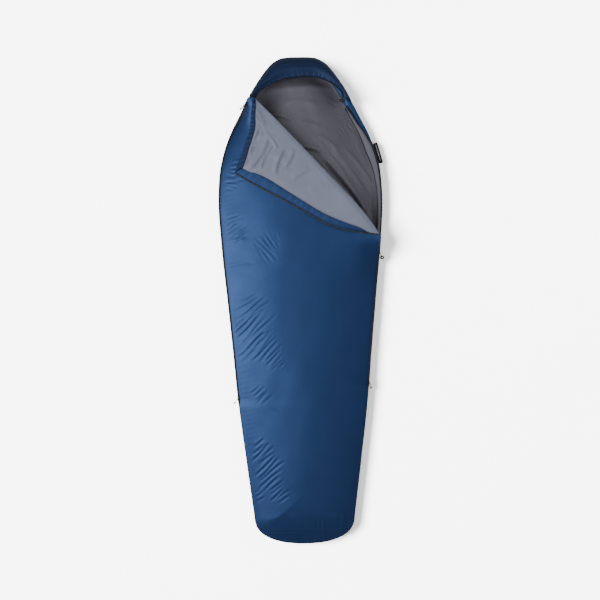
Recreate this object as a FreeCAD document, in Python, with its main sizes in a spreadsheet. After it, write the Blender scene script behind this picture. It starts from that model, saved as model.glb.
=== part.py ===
import FreeCAD, Part
import math
import os

import Sketcher

# A mummy sleeping bag lying on its back: +Y towards the hood, +X to the zip that is open,
# +Z up, origin under the middle of the bag on the surface it lies on.
# Every size is in millimetres. "Station" means the distance from the foot end along +Y.

os.makedirs("parts", exist_ok=True)
doc = FreeCAD.newDocument("mummy_sleeping_bag")
V = FreeCAD.Vector
UP = V(0, 0, 1)

# ---------------------------------------------------------------- driving dimensions

SIZES = [
    ("bag_length", 2100, "foot end to top of hood"),
    ("bag_height", 120, "loft of the closed bag, flat on a floor"),
    ("seam_height", 48, "side seam and zips above the floor"),
    ("shell_thick", 1.5, "outer fabric, with its loft of folds"),
    ("lining_thick", 1.5, "inner fabric"),
    ("filling_thick", 18, "insulation of the bag"),
    ("layer_gap", 1.2, "air between two layers"),
    ("chamber_gap", 0.4, "stitched slit between two chambers of filling"),
    ("neck_station", 1921, "where body and hood meet"),
    ("foot_panel", 55, "length of bag that the foot panel takes"),
    ("fold_gap", 3, "each panel's edge to the fold axis"),
    ("flap_filling", 13, "insulation of the flap"),
    ("flap_bow", 52, "how far the flap's zip edge bows out"),
    ("neck_hem_clear", 30, "fold axis to the start of the flap's neck hem"),
    ("zip_inset", 3, "zip's middle inside the outline"),
    ("teeth_half", 1.4, "half the thickness of a row of teeth"),
    ("teeth_high", 3.6, "height of one row of teeth"),
    ("teeth_slit", 2.8, "room between the rows for the slider's post"),
    ("tape_thick", 1, "zip tape"),
    ("tape_high", 8, "width of tape that shows"),
    ("slider_long", 17, "slider along the zip"),
    ("slider_wide", 12, "slider across the zip"),
    ("plate_thick", 1.5, "slider's plates"),
    ("slider_play", 0.5, "teeth to slider's plates"),
    ("arch_high", 3.4, "room under the slider's arch"),
    ("arch_long", 9.2, "slider's arch along the zip"),
    ("arch_wide", 4, "slider's arch across the zip"),
    ("arch_thick", 1.2, "metal of the arch"),
    ("frame_thick", 1.6, "pull's frame"),
    ("frame_long", 9, "pull's frame, from its bar to its far end"),
    ("frame_wide", 9, "pull's frame across"),
    ("frame_bar", 1.6, "width of the frame's bars"),
    ("ring_outer", 8.5, "radius of the moulded finger ring"),
    ("ring_inner", 5.2, "radius of its hole"),
    ("ring_thick", 3, "thickness of the ring"),
    ("tab_long", 15, "moulded tab on the plain pulls"),
    ("tab_wide", 6, "width of that tab"),
    ("lock_radius", 7.5, "cord lock's barrel"),
    ("lock_long", 18, "length of the barrel"),
    ("lock_bore", 5.2, "radius of the barrel's bore"),
    ("lock_floor", 2.2, "bottom of the barrel"),
    ("lock_travel", 3, "stroke of the cord lock's button"),
    ("button_radius", 5, "button in the barrel"),
    ("spring_wire", 0.4, "radius of the lock's spring wire"),
    ("spring_long", 3.2, "length of the spring when the button is pressed"),
    ("cord_radius", 1.6, "hood drawcord"),
    ("hem_radius", 6.5, "hem round the face opening"),
    ("hem_bore", 2.6, "channel in that hem"),
    ("loop_long", 92, "webbing loop along the side"),
    ("loop_wide", 19, "webbing loop out from the side"),
    ("loop_band", 5, "width of its webbing"),
    ("loop_thick", 2, "thickness of its webbing"),
]
sheet = doc.addObject("Spreadsheet::Sheet", "Sizes")
for row, (alias, value, meaning) in enumerate(SIZES, start=1):
    sheet.set(f"A{row}", meaning)
    sheet.set(f"B{row}", str(value))
    sheet.setAlias(f"B{row}", alias)
doc.recompute()


def size(alias):
    """The plain number in one cell of the sheet."""
    return float(getattr(sheet, alias))


LENGTH = size("bag_length")
HEIGHT = size("bag_height")
SEAM = size("seam_height")
FAR = 1500  # further than the bag reaches from its origin

# half widths of the bag at stations between the foot's curve and the hood's
SIDES = [
    (110, 216),
    (388, 253),
    (595, 278.5),
    (836, 300),
    (1290, 343),
    (1510, 353),
    (1630, 342),
    (1768, 299),
]
NECK_WIDTH = 229  # half width where the hood's curve starts
NECK_START = 1906
HOOD_CURVE = [(2010, 165), (2076, 110), (2097, 52)]
FOOT_CURVE = 110  # length of the foot's half ellipse
FOOT_STEPS = (30, 60)  # degrees round the foot's ellipse

# cross-section: inset from the outline and height above the floor, from floor to top
SECTION = [(40, 0), (12, 12), (0, 34), (0, 62), (12, 92), (60, HEIGHT)]

# the front is folded back along this line, from the left of the neck to the open zip's slider
FOLD_START = V(-183, 860, 0)
FOLD_END = V(334, 278, 0)
FOLD_HEIGHT = HEIGHT + 0.5
FOLD_ALONG = (FOLD_END - FOLD_START).normalize()
FOLD_OUT = UP.cross(FOLD_ALONG)  # in the floor plane, from the fold towards the open side

parts = []


def y_at(station):
    return station - LENGTH / 2


def keep(name, shape):
    """Puts a finished free-form shape in the document as the sub-part of that name."""
    solids = shape.Solids
    item = doc.addObject("Part::Feature", name)
    item.Label = name
    item.Shape = solids[0] if len(solids) == 1 else Part.makeCompound(solids)
    parts.append(item)
    return item


# ---------------------------------------------------------------- outline and layers


def half_outline(inset):
    """Points of the right half of the outline, foot to hood, moved inwards by inset."""
    side = SIDES[0][1] - inset
    end = FOOT_CURVE - inset
    points = []
    for turn in FOOT_STEPS:
        angle = math.radians(turn)
        points.append((side * math.sin(angle), FOOT_CURVE - end * math.cos(angle)))
    for station, half in SIDES:
        points.append((half - inset, station))
    across = (NECK_WIDTH - inset) / NECK_WIDTH
    hood = LENGTH - NECK_START
    along = (hood - inset) / hood
    points.append((NECK_WIDTH - inset, NECK_START))
    for station, half in HOOD_CURVE:
        points.append((half * across, NECK_START + (station - NECK_START) * along))
    return points


def outline(inset, height):
    """The bag's closed outline at one height."""
    right = half_outline(inset)
    foot = V(0, y_at(inset), height)
    hood = V(0, y_at(LENGTH - inset), height)
    points = [foot]
    points += [V(x, y_at(station), height) for x, station in right]
    points.append(hood)
    points += [V(-x, y_at(station), height) for x, station in reversed(right)]
    curve = Part.BSplineCurve()
    curve.interpolate(Points=points, PeriodicFlag=True)
    return Part.Wire([curve.toShape()])


def inset_section(depth):
    """The cross-section with every side moved inwards by depth."""
    corners = [(FAR, 0)] + SECTION + [(FAR, HEIGHT)]
    lines = []
    for (d0, z0), (d1, z1) in zip(corners, corners[1:]):
        run, rise = d1 - d0, z1 - z0
        long = math.hypot(run, rise)
        lines.append((d0 + rise / long * depth, z0 - run / long * depth, run, rise))
    moved = []
    for (d0, z0, run0, rise0), (d1, z1, run1, rise1) in zip(lines, lines[1:]):
        share = ((d1 - d0) * rise1 - (z1 - z0) * run1) / (run0 * rise1 - rise0 * run1)
        moved.append((d0 + share * run0, z0 + share * rise0))
    return moved


def body_solid(depth):
    """The whole bag as one solid, its surface moved inwards by depth."""
    levels = [outline(inset, height) for inset, height in inset_section(depth)]
    return Part.makeLoft(levels, True, True)


def block(x0, x1, y0, y1, z0, z1):
    return Part.makeBox(x1 - x0, y1 - y0, z1 - z0, V(x0, y0, z0))


def prism(points, z0, z1):
    """A flat plan, given by its corners, raised from z0 to z1."""
    corners = [V(p.x, p.y, z0) for p in points]
    face = Part.Face(Part.makePolygon(corners + corners[:1]))
    return face.extrude(V(0, 0, z1 - z0))


def rounded_path(points):
    """Straight runs joined by tangent arcs, each as large as its two runs allow."""
    edges = []
    last = points[0]
    for before, corner, after in zip(points, points[1:], points[2:]):
        back, ahead = before - corner, after - corner
        shorter = min(back.Length, ahead.Length)
        back.normalize()
        ahead.normalize()
        cut = 0.45 * shorter
        first, final = corner + back * cut, corner + ahead * cut
        middle_line = (back + ahead).normalize()
        half = math.acos(max(-1.0, min(1.0, back.dot(ahead)))) / 2
        centre = corner + middle_line * (cut / math.cos(half))
        radius = cut * math.tan(half)
        edges.append(Part.makeLine(last, first))
        edges.append(Part.Arc(first, centre - middle_line * radius, final).toShape())
        last = final
    edges.append(Part.makeLine(last, points[-1]))
    return Part.Wire(edges)


def half_width(station):
    """Half width of the bag between its stations, by straight lines."""
    table = SIDES + [(NECK_START, NECK_WIDTH)] + HOOD_CURVE
    for (s0, w0), (s1, w1) in zip(table, table[1:]):
        if s0 <= station <= s1:
            return w0 + (w1 - w0) * (station - s0) / (s1 - s0)
    raise ValueError(f"no half width at station {station}")


def edge_points(side, start, end, inset, height, end_inset=None):
    """Points along one side of the bag, side 1 for +X and -1 for -X."""
    stations = [start] + [s for s, _ in SIDES if start + 60 < s < end - 60] + [end]
    last_inset = inset if end_inset is None else end_inset
    points = []
    for station in stations:
        share = (station - start) / (end - start)
        depth = inset + (last_inset - inset) * share
        points.append(V(side * (half_width(station) - depth), y_at(station), height))
    return points


def ribbon(points, thick, z0, z1):
    """A strip that stands along a path, thick across it, from z0 to z1."""
    path = rounded_path([V(p.x, p.y, z0) for p in points])
    ahead = (points[1] - points[0]).normalize()
    across = UP.cross(ahead) * (thick / 2)
    foot = V(points[0].x, points[0].y, z0)
    rise = V(0, 0, z1 - z0)
    corners = [foot - across, foot + across, foot + across + rise, foot - across + rise]
    section = Part.makePolygon(corners + corners[:1])
    return path.makePipeShell([section], True, False)


def tube(points, radius, bore=0):
    """A round tube along a rounded path."""
    path = rounded_path(points)
    start = points[0]
    ahead = (points[1] - points[0]).normalize()
    outer = Part.Wire([Part.makeCircle(radius, start, ahead)])
    solid = path.makePipeShell([outer], True, False)
    if bore:
        inner = Part.Wire([Part.makeCircle(bore, start, ahead)])
        solid = solid.cut(path.makePipeShell([inner], True, False))
    return solid


# depths of the three layers' two faces below the outer surface
shell_in = size("shell_thick")
filling_out = shell_in + size("layer_gap")
filling_in = filling_out + size("filling_thick")
lining_out = filling_in + size("layer_gap")
lining_in = lining_out + size("lining_thick")
LAYERS = [
    ("shell", 0, shell_in),
    ("insulation", filling_out, filling_in),
    ("lining", lining_out, lining_in),
]
PANEL_GAP = 1  # half of it each side of a seam between two panels

# zip stations: the open zip's slider, both zips' lower ends and the neck
SLIDER_STATION = 1250
RIGHT_END = 672
LEFT_END = 611
ZIP_TOP = 1908
SLOT_LOW, SLOT_HIGH = 34, 62
SLOT_OUT, SLOT_DEPTH = 5, 9


def slot(side, start, end):
    """The groove in the side wall that a zip lies in."""
    middle = (SLOT_DEPTH - SLOT_OUT) / 2
    points = edge_points(side, start, end, middle, 0)
    return ribbon(points, SLOT_DEPTH + SLOT_OUT, SLOT_LOW, SLOT_HIGH)


def face_hole():
    """The opening in the hood that the face looks out of."""
    neck = y_at(size("neck_station")) - 5
    corners = [
        V(-193, neck, 0),
        V(-184, 886, 0),
        V(-150, 922, 0),
        V(-52, 962, 0),
        V(20, 970, 0),
        V(92, 962, 0),
        V(166, 922, 0),
        V(193, 886, 0),
        V(200, neck, 0),
    ]
    return prism(corners, SEAM, HEIGHT + 1)


def open_side():
    """Everything on the open side of the fold line, above the seam."""
    back = FOLD_OUT * -size("fold_gap")
    start = FOLD_START + back - FOLD_ALONG * FAR
    end = FOLD_END + back + FOLD_ALONG * FAR
    corners = [start, end, end + FOLD_OUT * 2 * FAR, start + FOLD_OUT * 2 * FAR]
    return prism(corners, SEAM - 1, HEIGHT + 1)


# filling is held in chambers: one flat one, and lengths of side wall parted at these stations
CHAMBER_STATIONS = [330, 630, 930, 1230, 1480, 1700, 1921, 2030]


def chambers(filling, level, low, high):
    """The filling of one panel, its walls between two heights parted from the flat chamber."""
    half = size("chamber_gap") / 2
    slits = [block(-FAR, FAR, -FAR, FAR, level - half, level + half)]
    slits.append(block(-half, half, -FAR, FAR, low, high))
    for station in CHAMBER_STATIONS:
        y = y_at(station)
        slits.append(block(-FAR, FAR, y - half, y + half, low, high))
    for slit in slits:
        filling = filling.cut(slit)
    return filling


def make_layers():
    """Back, front, hood and foot panels, each of shell, insulation and lining."""
    half_gap = PANEL_GAP / 2
    neck = y_at(size("neck_station"))
    foot = y_at(size("foot_panel"))
    foot_low = 6  # the foot panel starts just clear of the floor
    above = SEAM + half_gap
    foot_zone = block(-FAR, FAR, -FAR, foot - half_gap, foot_low, HEIGHT + 1)
    foot_cut = block(-FAR, FAR, -FAR, foot + half_gap, foot_low - PANEL_GAP, HEIGHT + 1)
    back_zone = block(-FAR, FAR, -FAR, FAR, -1, SEAM - half_gap).cut(foot_cut)
    front_zone = block(-FAR, FAR, foot + half_gap, neck - half_gap, above, HEIGHT + 1)
    front_zone = front_zone.cut(open_side())
    hood_zone = block(-FAR, FAR, neck + half_gap, FAR, above, HEIGHT + 1).cut(face_hole())
    slots = [slot(1, RIGHT_END - 20, SLIDER_STATION + 80), slot(-1, LEFT_END - 20, ZIP_TOP + 6)]
    zones = [("back", back_zone), ("front", front_zone), ("hood", hood_zone), ("foot", foot_zone)]
    for layer, outer, inner in LAYERS:
        wall = body_solid(outer).cut(body_solid(inner))
        for panel, zone in zones:
            piece = wall.common(zone)
            if panel in ("back", "front"):
                piece = piece.cut(Part.makeCompound(slots))
            if layer == "insulation" and panel == "back":
                level = filling_in + size("chamber_gap") / 2
                piece = chambers(piece, level, level, SEAM)
            if layer == "insulation" and panel == "front":
                level = HEIGHT - filling_in - size("chamber_gap") / 2
                piece = chambers(piece, level, SEAM, level)
            keep(f"{panel}_{layer}", piece)


make_layers()

# ---------------------------------------------------------------- flap

FLAP_LOW = HEIGHT + 1
SHELL_TOP = FLAP_LOW + size("shell_thick")
FILL_LOW = SHELL_TOP + size("layer_gap")
FILL_TOP = FILL_LOW + size("flap_filling")
LINING_LOW = FILL_TOP + size("layer_gap")
LINING_TOP = LINING_LOW + size("lining_thick")
FLAP_NECK = V(-197, 864, 0)
FLAP_CORNER = V(-278, 563, 0)
FLAP_END = FOLD_END - FOLD_OUT * 6


def flap_arc():
    """Centre and radius of the flap's zip edge, an arc from its corner to its end."""
    chord = FLAP_END - FLAP_CORNER
    half = chord.Length / 2
    bow = size("flap_bow")
    radius = (half * half + bow * bow) / (2 * bow)
    inward = UP.cross(FLAP_END - FLAP_CORNER).normalize()
    centre = FLAP_CORNER + chord * 0.5 + inward * (radius - bow)
    return centre, radius


ARC_CENTRE, ARC_RADIUS = flap_arc()


def arc_angle(point):
    offset = point - ARC_CENTRE
    return math.degrees(math.atan2(offset.y, offset.x))


def sector(inner, outer, z0, z1, margin):
    """A band along the flap's zip edge, between two insets from it."""
    start = arc_angle(FLAP_CORNER) + margin
    end = arc_angle(FLAP_END) - margin
    big = Part.makeCylinder(ARC_RADIUS - inner, z1 - z0, ARC_CENTRE + UP * z0, UP, end - start)
    small = Part.makeCylinder(ARC_RADIUS - outer, z1 - z0, ARC_CENTRE + UP * z0, UP, end - start)
    band = big.cut(small)
    band.rotate(ARC_CENTRE, UP, start)
    return band


def flap_slab(z0, z1, fold, neck, zip_edge):
    """The flap's plan with its three edges moved inwards, raised from z0 to z1."""
    disc = Part.makeCylinder(ARC_RADIUS - zip_edge, z1 - z0, ARC_CENTRE + UP * z0, UP)
    neck_in = UP.cross(FLAP_CORNER - FLAP_NECK).normalize()
    start = FOLD_START - FOLD_OUT * fold - FOLD_ALONG * FAR
    end = FOLD_START - FOLD_OUT * fold + FOLD_ALONG * FAR
    below = prism([start, end, end - FOLD_OUT * 2 * FAR, start - FOLD_OUT * 2 * FAR], z0, z1)
    along = (FLAP_CORNER - FLAP_NECK).normalize()
    top = FLAP_NECK + neck_in * neck - along * FAR
    low = FLAP_NECK + neck_in * neck + along * FAR
    right = prism([top, low, low + neck_in * 2 * FAR, top + neck_in * 2 * FAR], z0, z1)
    return disc.common(below).common(right)


def make_flap():
    """The folded-back corner of the front, lining side up."""
    gap = size("fold_gap")
    keep("flap_shell", flap_slab(FLAP_LOW, SHELL_TOP, gap, 0, 8))
    keep("flap_insulation", flap_slab(FILL_LOW, FILL_TOP, gap, 16, 20))
    keep("flap_lining", flap_slab(LINING_LOW, LINING_TOP, gap, 18, 42))
    hem = flap_slab(FILL_LOW, LINING_TOP, size("neck_hem_clear"), 1, 22)
    hem = hem.cut(flap_slab(0, FAR, -FAR, 15, -FAR / 2))
    keep("flap_neck_hem", hem)
    keep("flap_zip_facing", sector(12, 40, LINING_LOW, LINING_TOP, 2.2))
    keep("flap_zip_tape", sector(4.2, 17, FILL_LOW, FILL_LOW + size("tape_thick"), 2.2))
    teeth_top = FILL_LOW + 2 * size("teeth_half")
    keep("flap_zip_teeth", sector(0, size("teeth_high"), FILL_LOW, teeth_top, 2.2))


make_flap()

# ---------------------------------------------------------------- zips, tubes, hem and cord


def zip_levels():
    """Heights of the two rows of teeth and the two tapes, either side of the seam."""
    slit = size("teeth_slit") / 2
    high = size("teeth_high")
    tape = size("tape_high")
    back_teeth = (SEAM - slit - high, SEAM - slit)
    front_teeth = (SEAM + slit, SEAM + slit + high)
    back_tape = (back_teeth[0] - 0.3 - tape, back_teeth[0] - 0.3)
    front_tape = (front_teeth[1] + 0.3, front_teeth[1] + 0.3 + tape)
    return back_teeth, front_teeth, back_tape, front_tape


def make_zip_side(name, side, start, end):
    """The two tapes and the two rows of teeth of one closed length of zip."""
    back_teeth, front_teeth, back_tape, front_tape = zip_levels()
    points = edge_points(side, start, end, size("zip_inset"), 0)
    teeth = 2 * size("teeth_half")
    keep(f"{name}_back_teeth", ribbon(points, teeth, *back_teeth))
    keep(f"{name}_front_teeth", ribbon(points, teeth, *front_teeth))
    keep(f"{name}_back_tape", ribbon(points, size("tape_thick"), *back_tape))
    keep(f"{name}_front_tape", ribbon(points, size("tape_thick"), *front_tape))


make_zip_side("right_zip", 1, RIGHT_END, SLIDER_STATION + 30)
make_zip_side("left_zip", -1, LEFT_END, ZIP_TOP)

# the open length of the right zip lies on the rim of the back
OPEN_LOW = SEAM + 1
OPEN_TAPE_TOP = OPEN_LOW + size("tape_high")
open_points = edge_points(1, SLIDER_STATION + 60, ZIP_TOP - 20, 5, 0, 22)
keep("open_zip_tape", ribbon(open_points, size("tape_thick"), OPEN_LOW, OPEN_TAPE_TOP))
teeth_top = OPEN_TAPE_TOP + 0.3 + size("teeth_high")
keep("open_zip_teeth", ribbon(open_points, 2 * size("teeth_half"), OPEN_TAPE_TOP + 0.3, teeth_top))

TUBE_LOW, TUBE_HIGH = SEAM + 2, SEAM + 14
TUBE_WIDE = 22
keep("right_draft_tube", ribbon(edge_points(1, 700, 1880, 43, 0), TUBE_WIDE, TUBE_LOW, TUBE_HIGH))
keep("left_draft_tube", ribbon(edge_points(-1, 640, 1880, 43, 0), TUBE_WIDE, TUBE_LOW, TUBE_HIGH))

# hem round the face opening, with the drawcord in its channel
CORD_HEIGHT = HEIGHT - 11
HEM_ROUTE = [
    (-184, 873),
    (-174, 891),
    (-143, 915),
    (-98, 936),
    (-48, 952),
    (20, 959),
    (88, 952),
    (128, 934),
    (160, 912),
    (183, 889),
    (187, 878),
    (187, 870),
]
LOCK_SPOT = V(187, 853, CORD_HEIGHT)
CORD_ENDS = [(-185, 870), (187, 840)]
hem_points = [V(x, y, CORD_HEIGHT) for x, y in HEM_ROUTE]
keep("brim_hem", tube(hem_points, size("hem_radius"), size("hem_bore")))
cord_ends = [V(x, y, CORD_HEIGHT) for x, y in CORD_ENDS]
cord_points = cord_ends[:1] + hem_points[1:-1] + cord_ends[1:]
keep("hood_drawcord", tube(cord_points, size("cord_radius")))

# ---------------------------------------------------------------- sketched hardware


def new_body(name):
    body = doc.addObject("PartDesign::Body", name)
    body.Label = name
    parts.append(body)
    return body


def origin_plane(body, role):
    for feature in body.Origin.OriginFeatures:
        if feature.Role == role:
            return feature
    raise LookupError(role)


def new_sketch(body, name, role="XY_Plane", height=None):
    """A sketch on one of the body's own planes, height above it by an expression."""
    sketch = body.newObject("Sketcher::SketchObject", name)
    sketch.AttachmentSupport = [(origin_plane(body, role), "")]
    sketch.MapMode = "FlatFace"
    if height is not None:
        sketch.setExpression("AttachmentOffset.Base.z", height)
    return sketch


def draw_rectangle(sketch, x0, x1, y0, y1):
    """A rectangle whose four sides lie at expressions measured from the origin."""
    first = sketch.GeometryCount
    corners = [V(0, 0, 0), V(1, 0, 0), V(1, 1, 0), V(0, 1, 0)]
    for start, end in zip(corners, corners[1:] + corners[:1]):
        sketch.addGeometry(Part.LineSegment(start, end), False)
    for side in range(4):
        other = first + (side + 1) % 4
        sketch.addConstraint(Sketcher.Constraint("Coincident", first + side, 2, other, 1))
    for side in (0, 2):
        sketch.addConstraint(Sketcher.Constraint("Horizontal", first + side))
    for side in (1, 3):
        sketch.addConstraint(Sketcher.Constraint("Vertical", first + side))
    for kind, line, formula, start in (
        ("DistanceX", first, x0, 0),
        ("DistanceX", first + 1, x1, 1),
        ("DistanceY", first, y0, 0),
        ("DistanceY", first + 2, y1, 1),
    ):
        index = sketch.addConstraint(Sketcher.Constraint(kind, -1, 1, line, 1, float(start)))
        sketch.setExpression(f"Constraints[{index}]", formula)


def draw_circle(sketch, radius, x="0", y="0"):
    circle = sketch.addGeometry(Part.Circle(V(1, 1, 0), UP, 1), False)
    index = sketch.addConstraint(Sketcher.Constraint("Radius", circle, 1.0))
    sketch.setExpression(f"Constraints[{index}]", radius)
    for kind, formula in (("DistanceX", x), ("DistanceY", y)):
        index = sketch.addConstraint(Sketcher.Constraint(kind, -1, 1, circle, 3, 1.0))
        sketch.setExpression(f"Constraints[{index}]", formula)


def pad(body, sketch, length, both=False):
    feature = body.newObject("PartDesign::Pad", f"{sketch.Name}_pad")
    feature.Profile = sketch
    feature.setExpression("Length", length)
    feature.Midplane = both
    return feature


def pocket(body, sketch, length, both=False):
    feature = body.newObject("PartDesign::Pocket", f"{sketch.Name}_pocket")
    feature.Profile = sketch
    feature.setExpression("Length", length)
    feature.Midplane = both
    return feature


# A slider's own frame: X out of the side wall, Y along the zip, Z across it,
# origin in the middle of the teeth.
PLATE = "Sizes.teeth_half + Sizes.slider_play"
ARCH_FOOT = f"({PLATE} + Sizes.plate_thick)"
ARCH_ROOM = f"({ARCH_FOOT} + Sizes.arch_high)"
ARCH_TOP = f"({ARCH_ROOM} + Sizes.arch_thick)"
PULL_AXIS = (
    size("teeth_half") + size("slider_play") + size("plate_thick") + size("arch_high") / 2
)


def make_slider(name, placement):
    """Two plates joined by a post through the slit, and an arch for the pull."""
    body = new_body(name)
    half = "Sizes.slider_long / 2"
    plates = new_sketch(body, f"{name}_plates")
    draw_rectangle(plates, f"-{ARCH_FOOT}", ARCH_FOOT, f"-{half}", half)
    pad(body, plates, "Sizes.slider_wide", both=True)
    post_low, post_high = "1", "6"
    room = new_sketch(body, f"{name}_room")
    draw_rectangle(room, f"-({PLATE})", PLATE, f"-{half} - 1", post_low)
    draw_rectangle(room, f"-({PLATE})", PLATE, post_high, f"{half} + 1")
    pocket(body, room, "Sizes.slider_wide + 2", both=True)
    post_half = "(Sizes.teeth_slit / 2 - 0.4)"
    for end, sign in (("upper", ""), ("lower", "-")):
        track = new_sketch(body, f"{name}_{end}_track", height=f"{sign}{post_half}")
        draw_rectangle(track, f"-({PLATE})", PLATE, post_low, post_high)
        cut = pocket(body, track, "Sizes.slider_wide")
        cut.Reversed = end == "upper"
    arch = new_sketch(body, f"{name}_arch")
    ends = "Sizes.arch_long / 2"
    draw_rectangle(arch, f"{ARCH_FOOT} - 0.4", ARCH_TOP, f"-{ends}", ends)
    pad(body, arch, "Sizes.arch_wide", both=True)
    gap = new_sketch(body, f"{name}_arch_room")
    inner = f"({ends} - Sizes.arch_thick)"
    draw_rectangle(gap, ARCH_FOOT, ARCH_ROOM, f"-{inner}", inner)
    pocket(body, gap, "Sizes.arch_wide + 2", both=True)
    body.Placement = placement
    return body


def make_pull(name, placement, ring):
    """A frame whose bar turns under the slider's arch, with a moulded ring or tab."""
    body = new_body(name)
    half_bar = "Sizes.frame_bar / 2"
    frame = new_sketch(body, f"{name}_frame", "YZ_Plane")
    side = "Sizes.frame_wide / 2"
    draw_rectangle(frame, "-Sizes.frame_long", half_bar, f"-{side}", side)
    pad(body, frame, "Sizes.frame_thick", both=True)
    window = new_sketch(body, f"{name}_window", "YZ_Plane")
    edge = "Sizes.frame_bar"
    draw_rectangle(
        window, f"-Sizes.frame_long + {edge}", f"-{half_bar}", f"-{side} + {edge}", f"{side} - {edge}"
    )
    pocket(body, window, "Sizes.frame_thick + 1", both=True)
    grip = new_sketch(body, f"{name}_grip")
    start = "-Sizes.frame_long + 0.6"
    thick = "Sizes.ring_thick / 2"
    if ring:
        draw_rectangle(grip, f"-{thick}", thick, "-Sizes.frame_long - 4", start)
        pad(body, grip, "Sizes.ring_thick", both=True)
        loop = new_sketch(body, f"{name}_ring")
        centre = "-Sizes.frame_long - 3 - Sizes.ring_outer"
        draw_circle(loop, "Sizes.ring_outer", y=centre)
        draw_circle(loop, "Sizes.ring_inner", y=centre)
        pad(body, loop, "Sizes.ring_thick", both=True)
    else:
        draw_rectangle(grip, f"-{thick}", thick, "-Sizes.frame_long - Sizes.tab_long", start)
        pad(body, grip, "Sizes.tab_wide", both=True)
    body.Placement = placement
    return body


def zip_placement(side, station, ahead_station):
    """Where a slider sits on a zip, with its Y towards another station of that zip."""
    inset = size("zip_inset")
    here = V(side * (half_width(station) - inset), y_at(station), SEAM)
    there = V(side * (half_width(ahead_station) - inset), y_at(ahead_station), SEAM)
    ahead = (there - here).normalize()
    outward = ahead.cross(UP)
    if outward.x * side < 0:
        outward = outward * -1
    across = outward.cross(ahead)
    turn = FreeCAD.Rotation(outward, ahead, across, "XYZ")
    return FreeCAD.Placement(here, turn)


def make_slider_set(name, side, station, ahead_station, pull_angle, ring):
    """A slider and its pull, the pull swung out by its angle at rest."""
    place = zip_placement(side, station, ahead_station)
    make_slider(f"{name}_slider", place)
    hinge = FreeCAD.Placement(V(PULL_AXIS, 0, 0), FreeCAD.Rotation(UP, pull_angle))
    make_pull(f"{name}_pull", place.multiply(hinge), ring)
    print(name, "at", place.Base, "along", place.Rotation.multVec(V(0, 1, 0)))


make_slider_set("right_main", 1, SLIDER_STATION, 900, 152, True)
make_slider_set("right_lower", 1, RIGHT_END + 18, 830, 12, False)
make_slider_set("left_top", -1, ZIP_TOP - 16, 1780, 170, False)
make_slider_set("left_lower", -1, LEFT_END + 18, 830, 35, False)


def make_stop(name, side, station, ahead_station):
    """A moulded stop that closes the end of a zip."""
    body = new_body(name)
    base = new_sketch(body, f"{name}_base")
    draw_rectangle(base, f"-({PLATE})", PLATE, "-4", "4")
    pad(body, base, "Sizes.slider_wide - 2", both=True)
    body.Placement = zip_placement(side, station, ahead_station)


make_stop("right_zip_stop", 1, RIGHT_END - 5, 830)
make_stop("left_zip_stop", -1, LEFT_END - 5, 830)


def make_cord_lock():
    """Barrel and sprung button that grip the drawcord; the button faces the bag's middle."""
    barrel = new_body("cord_lock_barrel")
    outside = new_sketch(barrel, "barrel_outside")
    draw_circle(outside, "Sizes.lock_radius")
    pad(barrel, outside, "Sizes.lock_long")
    bore = new_sketch(barrel, "barrel_bore", height="Sizes.lock_floor")
    draw_circle(bore, "Sizes.lock_bore")
    cut = pocket(barrel, bore, "Sizes.lock_long")
    cut.Reversed = True
    hole = new_sketch(barrel, "barrel_cord_hole", "XZ_Plane")
    draw_circle(hole, "Sizes.cord_radius + 0.5", y="Sizes.lock_long * 0.62")
    pocket(barrel, hole, "Sizes.lock_radius * 2 + 2", both=True)

    button = new_body("cord_lock_button")
    stem = new_sketch(button, "button_stem", height="Sizes.lock_floor + Sizes.lock_travel + 3.6")
    draw_circle(stem, "Sizes.button_radius")
    pad(button, stem, "Sizes.lock_long - Sizes.lock_floor + 0.4")
    cap = new_sketch(button, "button_cap", height="Sizes.lock_long + Sizes.lock_travel + 0.4")
    draw_circle(cap, "Sizes.button_radius + 1.2")
    pad(button, cap, "3.6")
    slot_sketch = new_sketch(button, "button_cord_slot", "XZ_Plane")
    reach = "(Sizes.cord_radius + 0.5)"
    middle = "Sizes.lock_long * 0.62"
    draw_rectangle(
        slot_sketch, f"-{reach}", reach, f"{middle} - {reach}", f"{middle} + {reach} + Sizes.lock_travel"
    )
    pocket(button, slot_sketch, "Sizes.button_radius * 2 + 2", both=True)

    wire = size("spring_wire")
    radius = size("lock_bore") - 3 * wire
    turns, steps = 2, 8
    pitch = (size("spring_long") - 2 * wire) / turns
    low = size("lock_floor") + wire + 0.2
    points = []
    for step in range(turns * steps + 1):
        angle = 2 * math.pi * step / steps
        height = low + pitch * step / steps
        points.append(V(radius * math.cos(angle), radius * math.sin(angle), height))
    coil = tube(points, wire)
    spring = keep("cord_lock_spring", coil)

    place = FreeCAD.Placement(
        LOCK_SPOT + V(size("lock_long") * 0.62, 0, 0), FreeCAD.Rotation(V(0, 1, 0), -90)
    )
    for piece in (barrel, button, spring):
        piece.Placement = place


make_cord_lock()


def make_side_loop():
    """A flat webbing loop sewn to the right side, just under the zip."""
    body = new_body("side_loop")
    outer = new_sketch(body, "loop_outer")
    half = "Sizes.loop_long / 2"
    draw_rectangle(outer, "0", "Sizes.loop_wide", f"-{half}", half)
    pad(body, outer, "Sizes.loop_thick")
    inner = new_sketch(body, "loop_inner")
    band = "Sizes.loop_band"
    draw_rectangle(inner, band, f"Sizes.loop_wide - {band}", f"-{half} + {band}", f"{half} - {band}")
    cut = pocket(body, inner, "Sizes.loop_thick + 1")
    cut.Reversed = True
    body.Placement = FreeCAD.Placement(V(330.5, 630, 30), FreeCAD.Rotation(UP, 16))


make_side_loop()

# ---------------------------------------------------------------- checks and export

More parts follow.
